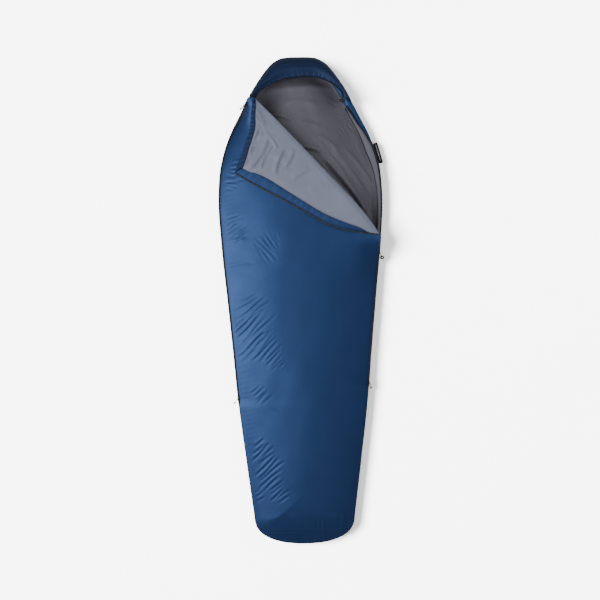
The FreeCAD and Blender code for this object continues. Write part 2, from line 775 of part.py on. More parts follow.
doc.recompute()
for item in doc.Objects:
    if "Invalid" in item.State or "Error" in item.State:
        raise RuntimeError(f"{item.Label} is {item.State}")
    if item.TypeId == "PartDesign::Pocket":
        removed = item.BaseFeature.Shape.Volume - item.Shape.Volume
        if removed < 0.1:
            raise RuntimeError(f"{item.Label} removes nothing")
for item in parts:
    shape = item.Shape
    if shape.isNull() or not shape.isValid() or not shape.Solids:
        raise RuntimeError(f"{item.Label} has no valid solid")
    path = f"parts/{item.Label}.step"
    shape.exportStep(path)
    box = shape.BoundBox
    print(
        f"{item.Label:22s} solids {len(shape.Solids)}  volume {shape.Volume / 1000:10.2f} cm3"
        f"  x {box.XMin:7.1f} {box.XMax:7.1f}  y {box.YMin:7.1f} {box.YMax:7.1f}"
        f"  z {box.ZMin:6.1f} {box.ZMax:6.1f}"
    )
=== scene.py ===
import math

import bmesh
import bpy
import numpy as np
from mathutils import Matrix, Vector


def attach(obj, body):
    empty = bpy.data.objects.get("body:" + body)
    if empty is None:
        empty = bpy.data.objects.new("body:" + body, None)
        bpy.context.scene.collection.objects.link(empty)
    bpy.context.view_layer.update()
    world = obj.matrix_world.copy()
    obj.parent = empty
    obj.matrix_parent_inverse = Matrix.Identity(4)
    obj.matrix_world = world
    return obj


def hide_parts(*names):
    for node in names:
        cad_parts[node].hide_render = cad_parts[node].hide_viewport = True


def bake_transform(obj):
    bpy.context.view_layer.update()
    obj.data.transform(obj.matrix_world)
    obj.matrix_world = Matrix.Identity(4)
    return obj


# A mummy sleeping bag. Lengths below are in millimetres and become metres in make_mesh().
# x: towards the open zip, y: towards the hood, z: up; s: distance from the foot end.

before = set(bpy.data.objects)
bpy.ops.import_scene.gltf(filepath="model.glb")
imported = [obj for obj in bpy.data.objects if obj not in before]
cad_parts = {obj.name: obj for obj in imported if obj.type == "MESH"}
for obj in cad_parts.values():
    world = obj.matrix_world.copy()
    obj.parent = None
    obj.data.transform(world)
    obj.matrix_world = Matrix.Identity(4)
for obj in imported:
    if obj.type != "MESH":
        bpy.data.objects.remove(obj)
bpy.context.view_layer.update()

MM = 0.001
LENGTH = 2100.0
HALF = LENGTH / 2
SEAM = 48.0  # height of the side seams above the floor
EDGE = 1.5  # shells stop this far inside the zip's outer line
ZIP_SPLIT = 1262  # where the right zip's slider stands, from the foot end; open beyond it
ZIP_NECK = 1905  # where the left zip ends at the neck
SHEET = 0.8  # thickness of a lining
TAPE_THICK = 0.9
UP = np.array([0, 0, 1.0])

# ---- curves and small helpers


def smooth(t):
    t = np.clip(t, 0, 1)
    return t * t * (3 - 2 * t)


def smooth_curve(points, step=3.0):
    """A curve through the points, with chord-length tangents, sampled every few millimetres."""
    pts = np.array(points, float)
    pts = np.vstack([2 * pts[0] - pts[1], pts, 2 * pts[-1] - pts[-2]])
    out = []
    for i in range(1, len(pts) - 2):
        p0, p1, p2, p3 = pts[i - 1], pts[i], pts[i + 1], pts[i + 2]
        d0, d1, d2 = (max(np.linalg.norm(b - a), 1e-6) for a, b in ((p0, p1), (p1, p2), (p2, p3)))
        m1 = (p1 - p0) / d0 * d1 * d1 / (d0 + d1) + (p2 - p1) / (d0 + d1) * d0
        m2 = (p2 - p1) / (d1 + d2) * d2 + (p3 - p2) / d2 * d1 * d1 / (d1 + d2)
        t = np.linspace(0, 1, max(2, int(d1 / step)) + 1)[:-1, None]
        at_ends = (2 * t**3 - 3 * t**2 + 1) * p1 + (t**3 - 2 * t**2 + t) * m1
        out.append(at_ends + (3 * t**2 - 2 * t**3) * p2 + (t**3 - t**2) * m2)
    out.append(pts[-2][None])
    return np.vstack(out)


def along(curve, u):
    """Points of a sampled curve at shares u of its length."""
    seg = np.linalg.norm(np.diff(curve, axis=0), axis=1)
    run = np.concatenate([[0], np.cumsum(seg)])
    u = np.asarray(u) * run[-1]
    return np.stack([np.interp(u, run, curve[:, k]) for k in range(curve.shape[1])], -1)


def length_of(curve):
    return np.linalg.norm(np.diff(curve, axis=0), axis=1).sum()


def circle(count):
    return np.linspace(0, 2 * np.pi, count, endpoint=False)


def directions(path):
    """Unit directions ahead, sideways and up at each point of a path."""
    ahead = np.gradient(path, axis=0)
    ahead /= np.maximum(np.linalg.norm(ahead, axis=1, keepdims=True), 1e-9)
    side = np.cross(ahead, UP)
    side /= np.maximum(np.linalg.norm(side, axis=1, keepdims=True), 1e-9)
    return ahead, side, np.cross(side, ahead)


# ---- outline of the bag

FOOT_LONG, FOOT_HALF = 110.0, 216.0
FOOT_SQUARE = 2.25  # 2 would be a plain half ellipse
# (distance from the middle line, distance from the foot end)
SIDE = [
    (253, 388), (278.5, 595), (300, 836), (321.5, 1063),
    (343, 1290), (353, 1510), (342, 1630), (299, 1768),
]
HOOD = [
    (264.5, 1837), (229, 1906), (196, 1968), (168, 2010), (143, 2044),
    (112, 2076), (78, 2094), (40, 2099.4), (0, 2100),
]
foot = [
    (
        FOOT_HALF * math.sin(a) ** (2 / FOOT_SQUARE),
        FOOT_LONG * (1 - math.cos(a) ** (2 / FOOT_SQUARE)),
    )
    for a in np.radians([0, 6, 14, 24, 36, 48, 60, 72, 82])
]
right_side = smooth_curve(foot + [(FOOT_HALF + 3.5, 130)] + SIDE + HOOD, 2.0)
right_side[:, 1] = np.maximum.accumulate(right_side[:, 1] + np.arange(len(right_side)) * 1e-7)


def half_width(s):
    return np.interp(s, right_side[:, 1], right_side[:, 0])


def edge_distance(x, s):
    """Distance of each point from the bag's outline, negative outside it."""
    px, ps = np.abs(np.asarray(x, float)).ravel(), np.asarray(s, float).ravel()
    q = np.stack([px, ps], -1)
    a, b = right_side[:-1], right_side[1:]
    near, pick = np.full(len(q), 1e9), np.zeros(len(q), int)
    guess = np.searchsorted(right_side[:, 1], ps)
    for shift in range(-160, 161, 4):  # the nearest of every fourth point
        i = np.clip(guess + shift, 0, len(a) - 1)
        d = np.hypot(*(q - a[i]).T)
        better = d < near
        near, pick = np.where(better, d, near), np.where(better, i, pick)
    for shift in range(-5, 6):  # then the nearest of the short lines about it
        i = np.clip(pick + shift, 0, len(a) - 1)
        e = b[i] - a[i]
        t = np.clip(((q - a[i]) * e).sum(1) / np.maximum((e * e).sum(1), 1e-9), 0, 1)
        near = np.minimum(near, np.hypot(*(q - a[i] - e * t[:, None]).T))
    inside = px <= half_width(ps) + 1e-6
    return np.where(inside, near, -near).reshape(np.shape(x))


def depth_at(x, y, inset=0.0):
    """How far a point lies inside the outline, less an inset; 0 outside it."""
    return np.maximum(edge_distance(x, y + HALF) - inset, 0)


# the fold: the front is turned back about this line
FOLD_A = np.array([-183.0, 860.0])
FOLD_B = np.array([334.0, 278.0])
FOLD_Z = 120.5
FOLD_LONG = float(np.hypot(*(FOLD_B - FOLD_A)))
FOLD_DIR = (FOLD_B - FOLD_A) / FOLD_LONG
FOLD_OUT = np.array([-FOLD_DIR[1], FOLD_DIR[0]])  # towards the open side


def fold_coords(x, y):
    """(distance along the fold, distance from it towards the open side)."""
    dx, dy = x - FOLD_A[0], y - FOLD_A[1]
    return dx * FOLD_DIR[0] + dy * FOLD_DIR[1], dx * FOLD_OUT[0] + dy * FOLD_OUT[1]


# (share of the fold's length, radius of the roll there)
ROLL = [
    (0, 1.5), (0.08, 5), (0.2, 9), (0.35, 12), (0.55, 16),
    (0.69, 18.5), (0.8, 19.5), (0.9, 15), (0.97, 7), (1, 2),
]


def roll_radius(run):
    u = np.clip(run / FOLD_LONG, 0, 1)
    return np.interp(u, *zip(*ROLL))


# ---- wrinkles


def crease(x, y, x0, y0, x1, y1, wide, high, bow):
    """One long soft wrinkle between two points, fading at both ends."""
    ex, ey = x1 - x0, y1 - y0
    long = math.hypot(ex, ey)
    t = ((x - x0) * ex + (y - y0) * ey) / long**2
    off = ((x - x0) * -ey + (y - y0) * ex) / long - bow * (1 - (2 * t - 1) ** 2)
    fade = smooth((t + 0.12) / 0.3) * smooth((1.12 - t) / 0.3)
    return high * fade * np.exp(-((off / wide) ** 2))


def cluster(x, y, cx, cy, long, wide, angle, spacing, high, seed):
    """A patch of roughly parallel pinched wrinkles that run at an angle, in degrees."""
    rng = np.random.default_rng(int(seed * 10) + 7)
    c, s = math.cos(math.radians(angle)), math.sin(math.radians(angle))
    near = (np.abs(x - cx) < long + wide + 40) & (np.abs(y - cy) < long + wide + 40)
    total = np.zeros(np.shape(x))
    px, py = x[near] - cx, y[near] - cy
    p, q = px * c + py * s, -px * s + py * c
    part = np.zeros(p.shape)
    count = max(1, int(wide / spacing))
    for k in range(-count, count + 1):
        place = (k + rng.uniform(-0.28, 0.28)) * spacing
        reach = long * (1 - 0.45 * abs(k) / (count + 1)) * rng.uniform(0.65, 1.05)
        middle = rng.uniform(-0.22, 0.22) * long
        deep = high * rng.uniform(0.5, 1.0) * (1 - 0.3 * abs(k) / (count + 1))
        lean = rng.uniform(-0.09, 0.09)
        t = (p - middle) / reach
        off = q - place - lean * (p - middle) - 2.0 * np.sin(p / 27 + 5 * k)
        fade = np.clip(1 - t**2, 0, 1) ** 0.8
        valley = np.exp(-((off / min(4.0, 0.24 * spacing)) ** 2))
        beside, broad = 0.44 * spacing, 0.28 * spacing
        ridge = 0.55 * np.exp(-(((off - beside) / broad) ** 2))
        ridge = ridge + 0.25 * np.exp(-(((off + beside) / broad) ** 2))
        part += deep * fade * (ridge - valley)
    total[near] = part
    return total


def add_folds(w, x, y, folds, widen=1.0, heighten=1.0):
    """Adds creases given as (x0, y0, x1, y1, half width, height, sideways bow)."""
    for x0, y0, x1, y1, wide, high, bow in folds:
        w = w + crease(x, y, x0, y0, x1, y1, widen * wide, heighten * high, bow)
    return w


def add_clusters(w, x, y, clusters):
    """Adds patches given as (x, y, length, width, angle, spacing, height, seed)."""
    for patch in clusters:
        w = w + cluster(x, y, *patch)
    return w


def swell(x, y, size, high, seed):
    """Slow rise and fall of the cloth, with a few waves in fixed directions."""
    rng = np.random.default_rng(seed)
    total = np.zeros(np.shape(x))
    for _ in range(7):
        turn = rng.uniform(0, 2 * np.pi)
        wave = size * rng.uniform(0.6, 1.7)
        ahead = x * np.cos(turn) + y * np.sin(turn)
        total += np.sin(2 * np.pi * ahead / wave + rng.uniform(0, 6.28))
    return high * total / 3.5


def edge_puckers(x, y, depth, reach, high, seed):
    """Short gathers that run in from a sewn edge."""
    pitch = 31 + 7 * np.sin(y / 170.0 + seed)
    gathers = np.sin(2 * np.pi * (y + 0.35 * np.abs(x)) / pitch + 2.3 * np.sin(y / 97.0 + seed))
    return high * gathers * np.exp(-depth / reach) * smooth(depth / 10)


# ---- surfaces of the body


def loft(s):
    """Height of the front's crown above the side seam."""
    stations = [0, 120, 500, 900, 1300, 1600, 1800, 2100]
    return np.interp(s, stations, [50, 56, 58, 62, 67.5, 68.5, 68, 64])


def zip_flange(x, s):
    """Width of the flat edge where a closed zip's sliders run."""
    left = smooth((s - 590) / 40) * smooth((ZIP_NECK + 1 - s) / 20) * (x < 0)
    right = smooth((s - 650) / 40) * smooth((1300 - s) / 40) * (x > 0)
    return (8.5 + 3 * smooth((s - 1700) / 60)) * np.maximum(left, right)


def front_height(x, y, wrinkles=True):
    """Upper face of the front: a soft crown, drawn up to the height of the fold."""
    s = y + HALF
    depth = depth_at(x, y)
    _, out = fold_coords(x, y)
    wide = half_width(np.clip(s, 170, 1830))
    from_ends = np.minimum(*(np.hypot(x - end[0], y - end[1]) for end in (FOLD_A, FOLD_B)))
    at_neck = smooth((s - 1780) / 110) * (x < 0)
    wide = wide * (0.28 - 0.09 * at_neck + 0.72 * smooth(from_ends / 260))
    power = np.interp(s, [0, 300, 700, 1100, 1500, 2100], [2.2, 1.85, 1.85, 2.1, 2.7, 2.9])
    flat = 1 - np.clip((depth - zip_flange(x, s)) / wide, 0, 1)
    rise = (1 - flat**power) ** (0.8 - 0.18 * at_neck)
    z = SEAM + 1.5 + (loft(s) - 1.5) * rise
    if wrinkles:
        z = z + front_wrinkles(x, y, depth)
    near = smooth(1 + out / 90)
    limit = FOLD_Z + 0.2 - 2.5 * smooth(-out / 30)
    z = z * (1 - near) + (FOLD_Z - 0.4) * near
    z = np.minimum(z, limit)
    return np.where(out > -0.6, FOLD_Z - 0.05, z)


FRONT_CLUSTERS = [
    (-262, 556, 48, 34, 8, 17, 2.0, 0.4), (-292, 515, 32, 40, -12, 18, 1.6, 0.9),
    (-272, 300, 55, 50, 40, 17, 2.4, 1.3), (-285, 350, 40, 24, 20, 15, 1.6, 1.8),
    (-152, 232, 75, 38, -52, 19, 2.4, 2.1), (-110, 258, 44, 20, -62, 17, 1.8, 2.6),
    (-205, -22, 82, 44, 33, 18, 2.6, 0.9), (-212, -128, 118, 66, 44, 19, 3.2, 2.4),
    (-150, -200, 74, 54, 47, 18, 2.8, 3.4), (-232, -232, 46, 30, 40, 17, 2.0, 4.4),
    (-118, -262, 44, 34, 44, 16, 2.0, 4.9), (-182, -405, 52, 42, 43, 18, 2.2, 3.3),
    (-128, -452, 34, 18, -50, 15, 1.6, 3.8), (-175, -640, 62, 44, 42, 19, 2.6, 5.2),
    (-150, -742, 92, 52, 42, 19, 3.0, 1.9), (-108, -826, 56, 44, 36, 18, 2.4, 0.2),
    (-196, -836, 34, 26, 30, 16, 1.6, 2.7), (70, -972, 34, 20, 86, 22, 2.2, 1.1),
    (175, -952, 42, 18, 82, 24, 2.0, 0.3),
]


def front_wrinkles(x, y, depth):
    w = swell(x, y, 330, 1.6, 3) + swell(x, y, 120, 0.45, 8)
    w = add_clusters(w, x, y, FRONT_CLUSTERS)
    w += crease(x, y, -330, 255, -235, 262, 7, 1.4, 4)
    w -= crease(x, y, -318, 150, -205, 165, 8, 1.2, 5)
    w += edge_puckers(x, y, depth, 30, 0.45, 2.0)
    return w * smooth((depth - 13) / 22)


def back_height(depth):
    """Underside of the bag: flat where it lies on the floor, turning up to the seam."""
    turn = np.clip(1 - depth / 62, 0, 1)
    return 1.0 + (SEAM - 3.8) * turn**2.3


def rim_share(x, s):
    """1 on the open length of the right side, 0 elsewhere."""
    return smooth((s - ZIP_SPLIT) / 40) * smooth((x - 40) / 60)


# (distance from the foot end, how far the open zip lies inside the outline)
OPEN_INSET = [
    (ZIP_SPLIT, 4), (1500, 4), (1640, 4), (1725, 5), (1759, 15), (1828, 25), (1902, 31),
]


def back_top(x, s, depth):
    """Upper face of the back's padding: a full rim along the open zip, thinner inside."""
    rim = np.interp(s, *zip(*OPEN_INSET)) + 6
    swollen = rim_share(x, s) * 7.5 * np.sin(np.pi * np.clip(depth / rim, 0, 1)) ** 0.8
    fall = np.clip((depth - 4) / 76, 0, 1)
    return SEAM - 2.2 + swollen - 26 * smooth(fall)


# ridges and valleys of the loose lining
LINING_FOLDS = [
    (75, 690, 268, 420, 9, 7.0, 12), (95, 672, 282, 402, 6, -6.0, 12),
    (112, 610, 300, 352, 8, 6.5, 9), (100, 596, 285, 340, 6, -5.5, 9),
    (60, 585, 262, 330, 8, 5.0, -6), (150, 640, 292, 446, 8, 6.0, 10),
    (164, 625, 300, 442, 5, -5.0, 10), (205, 640, 308, 500, 7, 4.5, 6),
    (196, 420, 318, 292, 7, 5.0, 5), (208, 408, 322, 290, 5, -4.5, 5),
    (-18, 655, 92, 640, 10, 5.5, 12), (-12, 640, 88, 622, 7, -4.5, 12),
    (-120, 800, -30, 772, 9, 3.5, 7), (-110, 786, -28, 760, 7, -3.2, 7),
    (10, 760, 90, 742, 11, 3.0, 5), (85, 705, 165, 640, 9, 4.2, 5),
    (150, 330, 290, 392, 6, 3.2, 3), (150, 318, 296, 378, 4, -3.0, 3),
    (-140, 905, 140, 915, 14, 3.0, 10), (-60, 850, 80, 840, 14, 2.6, 8),
]


LINING_CLUSTERS = [
    (172, 806, 46, 40, 20, 16, 4.6, 0.7), (130, 838, 36, 26, -30, 15, 3.6, 2.2),
    (205, 735, 36, 44, -58, 18, 4.0, 3.1), (225, 660, 40, 26, -66, 17, 2.2, 1.1),
    (-60, 800, 46, 22, -35, 19, 1.8, 1.7), (262, 395, 30, 30, 70, 17, 2.0, 2.9),
]


def lining_height(x, y):
    """The inner bowl of the back, which shows beside the flap."""
    s = y + HALF
    depth = depth_at(x, y)
    open_side = rim_share(x, s)
    wall = np.clip(1 - (depth - 6) / 78, 0, 1)
    z = 25 + (21 + 3 * open_side) * wall**1.7
    z = z + 58 * smooth((depth - 26) / 150) * smooth((s - 1150) / 250) * smooth((2075 - s) / 120)
    w = swell(x, y, 240, 2.2, 5) + swell(x, y, 90, 0.9, 11)
    w = add_folds(w, x, y, LINING_FOLDS, heighten=2.1)
    w = add_clusters(w, x, y, LINING_CLUSTERS)
    level = z + w * smooth((depth - 8) / 40)
    padding = back_top(x, s, depth - EDGE)
    covered = depth > np.where(open_side > 0.02, np.interp(s, *zip(*OPEN_INSET)) + 4, 0)
    return np.where(covered, np.maximum(level, padding + 1.6), np.minimum(level, padding - 2))


def flap_bottom(x, y):
    """Underside of the folded-back flap; it droops a little towards its corner."""
    _, out = fold_coords(x, y)
    return FOLD_Z + 0.4 - 9 * smooth(-out / 330) ** 1.3


# ---- meshes


def new_object(name, data):
    obj = bpy.data.objects.new(name, data)
    bpy.context.scene.collection.objects.link(obj)
    return obj


def make_mesh(name, verts, faces, material, slot, body="bag", smooth_faces=True):
    """A visible piece from vertices in millimetres; body is None for a piece that is left
    unattached.
    """
    mesh = bpy.data.meshes.new(name)
    mesh.from_pydata((np.asarray(verts, float) * MM).tolist(), [], faces)
    mesh.validate()
    obj = new_object(name, mesh)
    mesh.materials.append(material)
    mesh.polygons.foreach_set("use_smooth", [smooth_faces] * len(mesh.polygons))
    tidy = bmesh.new()
    tidy.from_mesh(mesh)
    bmesh.ops.remove_doubles(tidy, verts=tidy.verts, dist=2e-5)
    bmesh.ops.dissolve_degenerate(tidy, edges=tidy.edges, dist=1e-6)
    bmesh.ops.recalc_face_normals(tidy, faces=tidy.faces)
    tidy.to_mesh(mesh)
    tidy.free()
    mesh.update()
    if body:
        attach(obj, body)
    return obj


def grid_faces(rows, cols, wrap=False, ring=False):
    """Quads of a grid of points stored row by row; wrap joins its sides, ring its ends."""
    last_row, last_col = (rows if ring else rows - 1), (cols if wrap else cols - 1)
    r, c = (part.ravel() for part in np.meshgrid(range(last_row), range(last_col), indexing="ij"))
    n, following = (c + 1) % cols, (r + 1) % rows * cols
    return np.stack([r * cols + c, r * cols + n, following + n, following + c], -1).tolist()


def tube_faces(rings, around):
    """Faces of a tube of closed rings, with its two ends."""
    ends = [list(range(around - 1, -1, -1)), list(range((rings - 1) * around, rings * around))]
    return grid_faces(rings, around, wrap=True) + ends


def between(a, b, v):
    """Points at the shares v of the way from curve a to curve b."""
    return a[:, None] * (1 - v[None, :, None]) + b[:, None] * v[None, :, None]


def cut_plan(xy, faces, cuts):
    """Trims a flat mesh to one side of straight lines, each (point, direction to drop)."""
    flat = bmesh.new()
    verts = [flat.verts.new((x, y, 0)) for x, y in xy]
    for f in faces:
        flat.faces.new([verts[i] for i in f])
    for point, drop in cuts:
        bmesh.ops.bisect_plane(
            flat,
            geom=flat.verts[:] + flat.edges[:] + flat.faces[:],
            dist=0.05,
            plane_co=(point[0], point[1], 0),
            plane_no=(drop[0], drop[1], 0),
            clear_outer=True,
        )
    flat.verts.index_update()
    out = np.array([v.co[:2] for v in flat.verts])
    kept = [[v.index for v in f.verts] for f in flat.faces]
    flat.free()
    return out, kept


def close_pair(faces, n):
    """Faces of a closed shell: a sheet, its copy n points further on, and the wall between."""
    edges = {}
    for f in faces:
        for a, b in zip(f, f[1:] + f[:1]):
            key = (min(a, b), max(a, b))
            edges[key] = None if key in edges else (a, b)
    closed = list(faces) + [[i + n for i in reversed(f)] for f in faces]
    return closed + [[e[1], e[0], e[0] + n, e[1] + n] for e in edges.values() if e]


def quilt_mesh(xy, faces, top, bottom):
    """A closed pad from a flat plan and the heights of its two faces."""
    verts = np.vstack([np.column_stack([xy, top]), np.column_stack([xy, bottom])])
    return verts, close_pair(faces, len(xy))


def grid_pad(plan, top, bottom):
    """A closed pad from a plan that is a grid of points."""
    faces = grid_faces(*plan.shape[:2])
    return quilt_mesh(plan.reshape(-1, 2), faces, top.ravel(), bottom.ravel())


HOOD_TURN = 1960.0  # from here to the hood's end the rows draw closer together


def body_grid(inset, s0, s1, across, step):
    """Plan of the bag inside its outline between two stations."""
    rows = []
    bend = 24
    if s0 < FOOT_LONG:
        turn = np.linspace(0, np.pi / 2, bend)
        foot_rows = inset + (FOOT_LONG - inset) * (1 - np.cos(turn))
        rows += [s0] + [r for r in foot_rows if s0 <= r <= s1]
    first = max(s0, FOOT_LONG)
    last = min(s1, HOOD_TURN)
    if last > first:
        rows += list(np.linspace(first, last, int((last - first) / step) + 2))
    else:
        rows += [s1]
    if s1 > HOOD_TURN:
        turn = np.linspace(0, np.pi / 2, bend + 12)
        rows += [r for r in HOOD_TURN + (LENGTH - inset - HOOD_TURN) * np.sin(turn) if r <= s1]
    low, high = max(s0, inset + 0.3), min(s1, LENGTH - inset - 0.3)
    rows = np.unique(np.round(np.clip(rows, low, high), 3))
    u = np.linspace(-1, 1, across)
    a = 0.6 * u + 0.4 * np.sin(u * np.pi / 2)
    scaled = HALF + (rows - HALF) * HALF / (HALF - inset)
    wide = np.maximum(half_width(np.clip(scaled, 0, LENGTH)) - inset, 2)
    x = a[None, :] * wide[:, None]
    y = np.repeat(rows[:, None] - HALF, across, 1)
    return np.stack([x.ravel(), y.ravel()], -1), grid_faces(len(rows), across)


def tube_along(path, radius, around):
    """Closed tube round a path (n x 3), with a radius for each of its points."""
    _, side, up = directions(path)
    turn = circle(around)
    ring = side[:, None] * np.cos(turn)[None, :, None] + up[:, None] * np.sin(turn)[None, :, None]
    verts = (path[:, None, :] + ring * radius[:, None, None]).reshape(-1, 3)
    return verts, tube_faces(len(path), around)


# ---- materials


def new_material(name):
    mat = bpy.data.materials.new(name)
    mat.use_nodes = True
    tree = mat.node_tree
    tree.nodes.clear()
    out = tree.nodes.new("ShaderNodeOutputMaterial")
    shader = tree.nodes.new("ShaderNodeBsdfPrincipled")
    tree.links.new(shader.outputs["BSDF"], out.inputs["Surface"])
    return mat, tree, shader


def put(node, values):
    """Sets a node's input sockets by name."""
    for name, value in values.items():
        node.inputs[name].default_value = value


def object_coords(tree):
    return tree.nodes.new("ShaderNodeTexCoord").outputs["Object"]


def noise(tree, vector, scale, detail=3, rough=0.5):
    node = tree.nodes.new("ShaderNodeTexNoise")
    put(node, {"Scale": scale, "Detail": detail, "Roughness": rough})
    tree.links.new(vector, node.inputs["Vector"])
    return node.outputs["Fac"]


def wave(tree, vector, scale, direction):
    node = tree.nodes.new("ShaderNodeTexWave")
    node.bands_direction = direction
    put(node, {"Scale": scale, "Distortion": 0.4, "Detail": 1})
    tree.links.new(vector, node.inputs["Vector"])
    return node.outputs["Fac"]


def ramp(tree, fac, dark, light):
    node = tree.nodes.new("ShaderNodeValToRGB")
    for end, place, colour in zip(node.color_ramp.elements, (0.3, 0.7), (dark, light)):
        end.position = place
        end.color = (*colour, 1)
    tree.links.new(fac, node.inputs["Fac"])
    return node.outputs["Color"]


def math_node(tree, kind, a, b):
    node = tree.nodes.new("ShaderNodeMath")
    node.operation = kind
    for i, v in enumerate((a, b)):
        if isinstance(v, (int, float)):
            node.inputs[i].default_value = v
        else:
            tree.links.new(v, node.inputs[i])
    return node.outputs["Value"]


def scaled(tree, value, gain, offset):
    return math_node(tree, "ADD", math_node(tree, "MULTIPLY", value, gain), offset)


def bump(tree, shader, layers):
    """Chains bump layers, each (height, strength, distance in metres)."""
    normal = None
    for height, strength, distance in layers:
        node = tree.nodes.new("ShaderNodeBump")
        put(node, {"Strength": strength, "Distance": distance})
        tree.links.new(height, node.inputs["Height"])
        if normal is not None:
            tree.links.new(normal, node.inputs["Normal"])
        normal = node.outputs["Normal"]
    tree.links.new(normal, shader.inputs["Normal"])


def fabric(name, dark, light, rough, weave, crumple, spec, sheen=0.0, sheen_tint=(1, 1, 1),
           gloss_tint=(1, 1, 1), weave_depth=0.00012):
    """Woven cloth: slow colour drift, thread pattern, small crumples."""
    mat, tree, shader = new_material(name)
    here = object_coords(tree)
    drift = noise(tree, here, 5.5, 4)
    fine = noise(tree, here, 160, 2)
    mixed = scaled(tree, drift, 0.8, math_node(tree, "MULTIPLY", fine, 0.2))
    tree.links.new(ramp(tree, mixed, dark, light), shader.inputs["Base Color"])
    rough_drift = scaled(tree, noise(tree, here, 11, 3), 0.16, rough - 0.08)
    tree.links.new(rough_drift, shader.inputs["Roughness"])
    warp = wave(tree, here, weave, "X")
    weft = wave(tree, here, weave, "Y")
    threads = math_node(tree, "MAXIMUM", warp, weft)
    soft = noise(tree, here, 38, 4, 0.6)
    bump(tree, shader, [(soft, crumple, 0.0022), (threads, 0.25, weave_depth)])
    put(shader, {"Specular IOR Level": spec, "Specular Tint": (*gloss_tint, 1)})
    put(shader, {"Sheen Weight": sheen, "Sheen Roughness": 0.4, "Sheen Tint": (*sheen_tint, 1)})
    return mat


def plastic(name, dark, light, rough, metallic=0.0):
    """Moulded or lacquered hard part: slight drift, scuffs and a fine grain."""
    mat, tree, shader = new_material(name)
    here = object_coords(tree)
    tree.links.new(ramp(tree, noise(tree, here, 90, 3), dark, light), shader.inputs["Base Color"])
    scuff = scaled(tree, noise(tree, here, 240, 4), 0.3, rough - 0.15)
    tree.links.new(scuff, shader.inputs["Roughness"])
    bump(tree, shader, [(noise(tree, here, 900, 2), 0.2, 0.00008)])
    put(shader, {"Metallic": metallic})
    return mat


DYE_BLUE = (0.22, 0.42, 1.0)
SHELL = {"weave": 620, "sheen_tint": DYE_BLUE}
GLOSSY = {"gloss_tint": DYE_BLUE, **SHELL}
LINING = {"weave": 520, "spec": 0.25, "sheen": 0.1}
COOL = {"sheen_tint": (0.8, 0.82, 0.9), **LINING}
BLUE = fabric("shell_blue_cloth", (0.0062, 0.0168, 0.054), (0.0077, 0.0200, 0.064), 0.44,
              crumple=0.10, spec=0.9, **GLOSSY)
BLUE_BACK = fabric("shell_blue_lower", (0.0090, 0.0230, 0.070), (0.0110, 0.0270, 0.080), 0.46,
                   crumple=0.12, spec=0.8, **GLOSSY)
# shell blue painted darker as shade, for the hood brim, the face hem and the flap's neck hem
BLUE_PAINTED_SHADE = fabric("shell_blue_painted_shade_cloth", (0.0066, 0.0125, 0.036), (0.0084, 0.0152, 0.043), 0.50,
              crumple=0.10, spec=0.5, gloss_tint=(0.3, 0.45, 0.9), **SHELL)
CHARCOAL = fabric("lining_charcoal_cloth", (0.072, 0.070, 0.087), (0.092, 0.089, 0.111), 0.62,
                  crumple=0.16, **COOL)
TUBE_GREY = fabric("draft_tube_cloth", (0.092, 0.092, 0.114), (0.112, 0.112, 0.138), 0.60,
                   crumple=0.14, **COOL)
GREY = fabric("lining_grey_cloth", (0.140, 0.152, 0.204), (0.162, 0.175, 0.234), 0.55,
              crumple=0.10, sheen_tint=(0.9, 0.92, 1.0), **LINING)
FACING = fabric("zip_facing_cloth", (0.0068, 0.0160, 0.048), (0.0084, 0.0190, 0.057), 0.48,
                crumple=0.12, spec=0.8, **GLOSSY)
TAPE = fabric("zip_tape_weave", (0.0075, 0.009, 0.015), (0.011, 0.013, 0.020), 0.7, 900, 0.05, 0.3)
WEBBING = fabric("webbing_weave", (0.006, 0.006, 0.008), (0.011, 0.011, 0.013), 0.7, 420, 0.02, 0.3,
                 weave_depth=0.0004)
CORD = fabric("cord_braid", (0.007, 0.007, 0.010), (0.013, 0.013, 0.017), 0.6, 700, 0.0, 0.3,
              weave_depth=0.0004)
# a lighter copy of the coil nylon for the flap's zip: painted highlight where the coil catches the
# light
COIL_PAINTED_HIGHLIGHT = plastic("zip_coil_painted_highlight", (0.030, 0.036, 0.045), (0.045, 0.052, 0.062), 0.42)
TEETH = plastic("zip_coil_nylon", (0.010, 0.012, 0.018), (0.018, 0.020, 0.030), 0.42)
METAL = plastic("slider_lacquer", (0.012, 0.012, 0.014), (0.024, 0.024, 0.027), 0.36, metallic=0.6)
PULL = plastic("pull_rubber", (0.008, 0.008, 0.010), (0.015, 0.015, 0.017), 0.5)
LOCK = plastic("lock_acetal", (0.008, 0.008, 0.010), (0.016, 0.016, 0.018), 0.38)
STEEL = plastic("spring_wire_steel", (0.45, 0.45, 0.45), (0.6, 0.6, 0.6), 0.3, metallic=1.0)

# ---- front, back and foot

FOOT_SEAM = 55.0  # where the foot panel is sewn on, from the foot end
NECK = 1921.0  # where the front ends and the face opening starts

FOLD_GAP = 0.35  # between the flap and the fold line, so that nothing touches as it turns
cuts = [((0, NECK - HALF), (0, 1)), (FOLD_A - FOLD_OUT * 0.2, FOLD_OUT)]


def front_plan(inset, across, step):
    """The front cut at the neck and the fold: plan, faces, x, y, roll, way out, share of fold."""
    xy, faces = cut_plan(*body_grid(inset, FOOT_SEAM, NECK + 6, across, step), cuts)
    run, out = fold_coords(*xy.T)
    return xy, faces, *xy.T, roll_radius(run), out, np.clip(1 + out / 40, 0, 1)


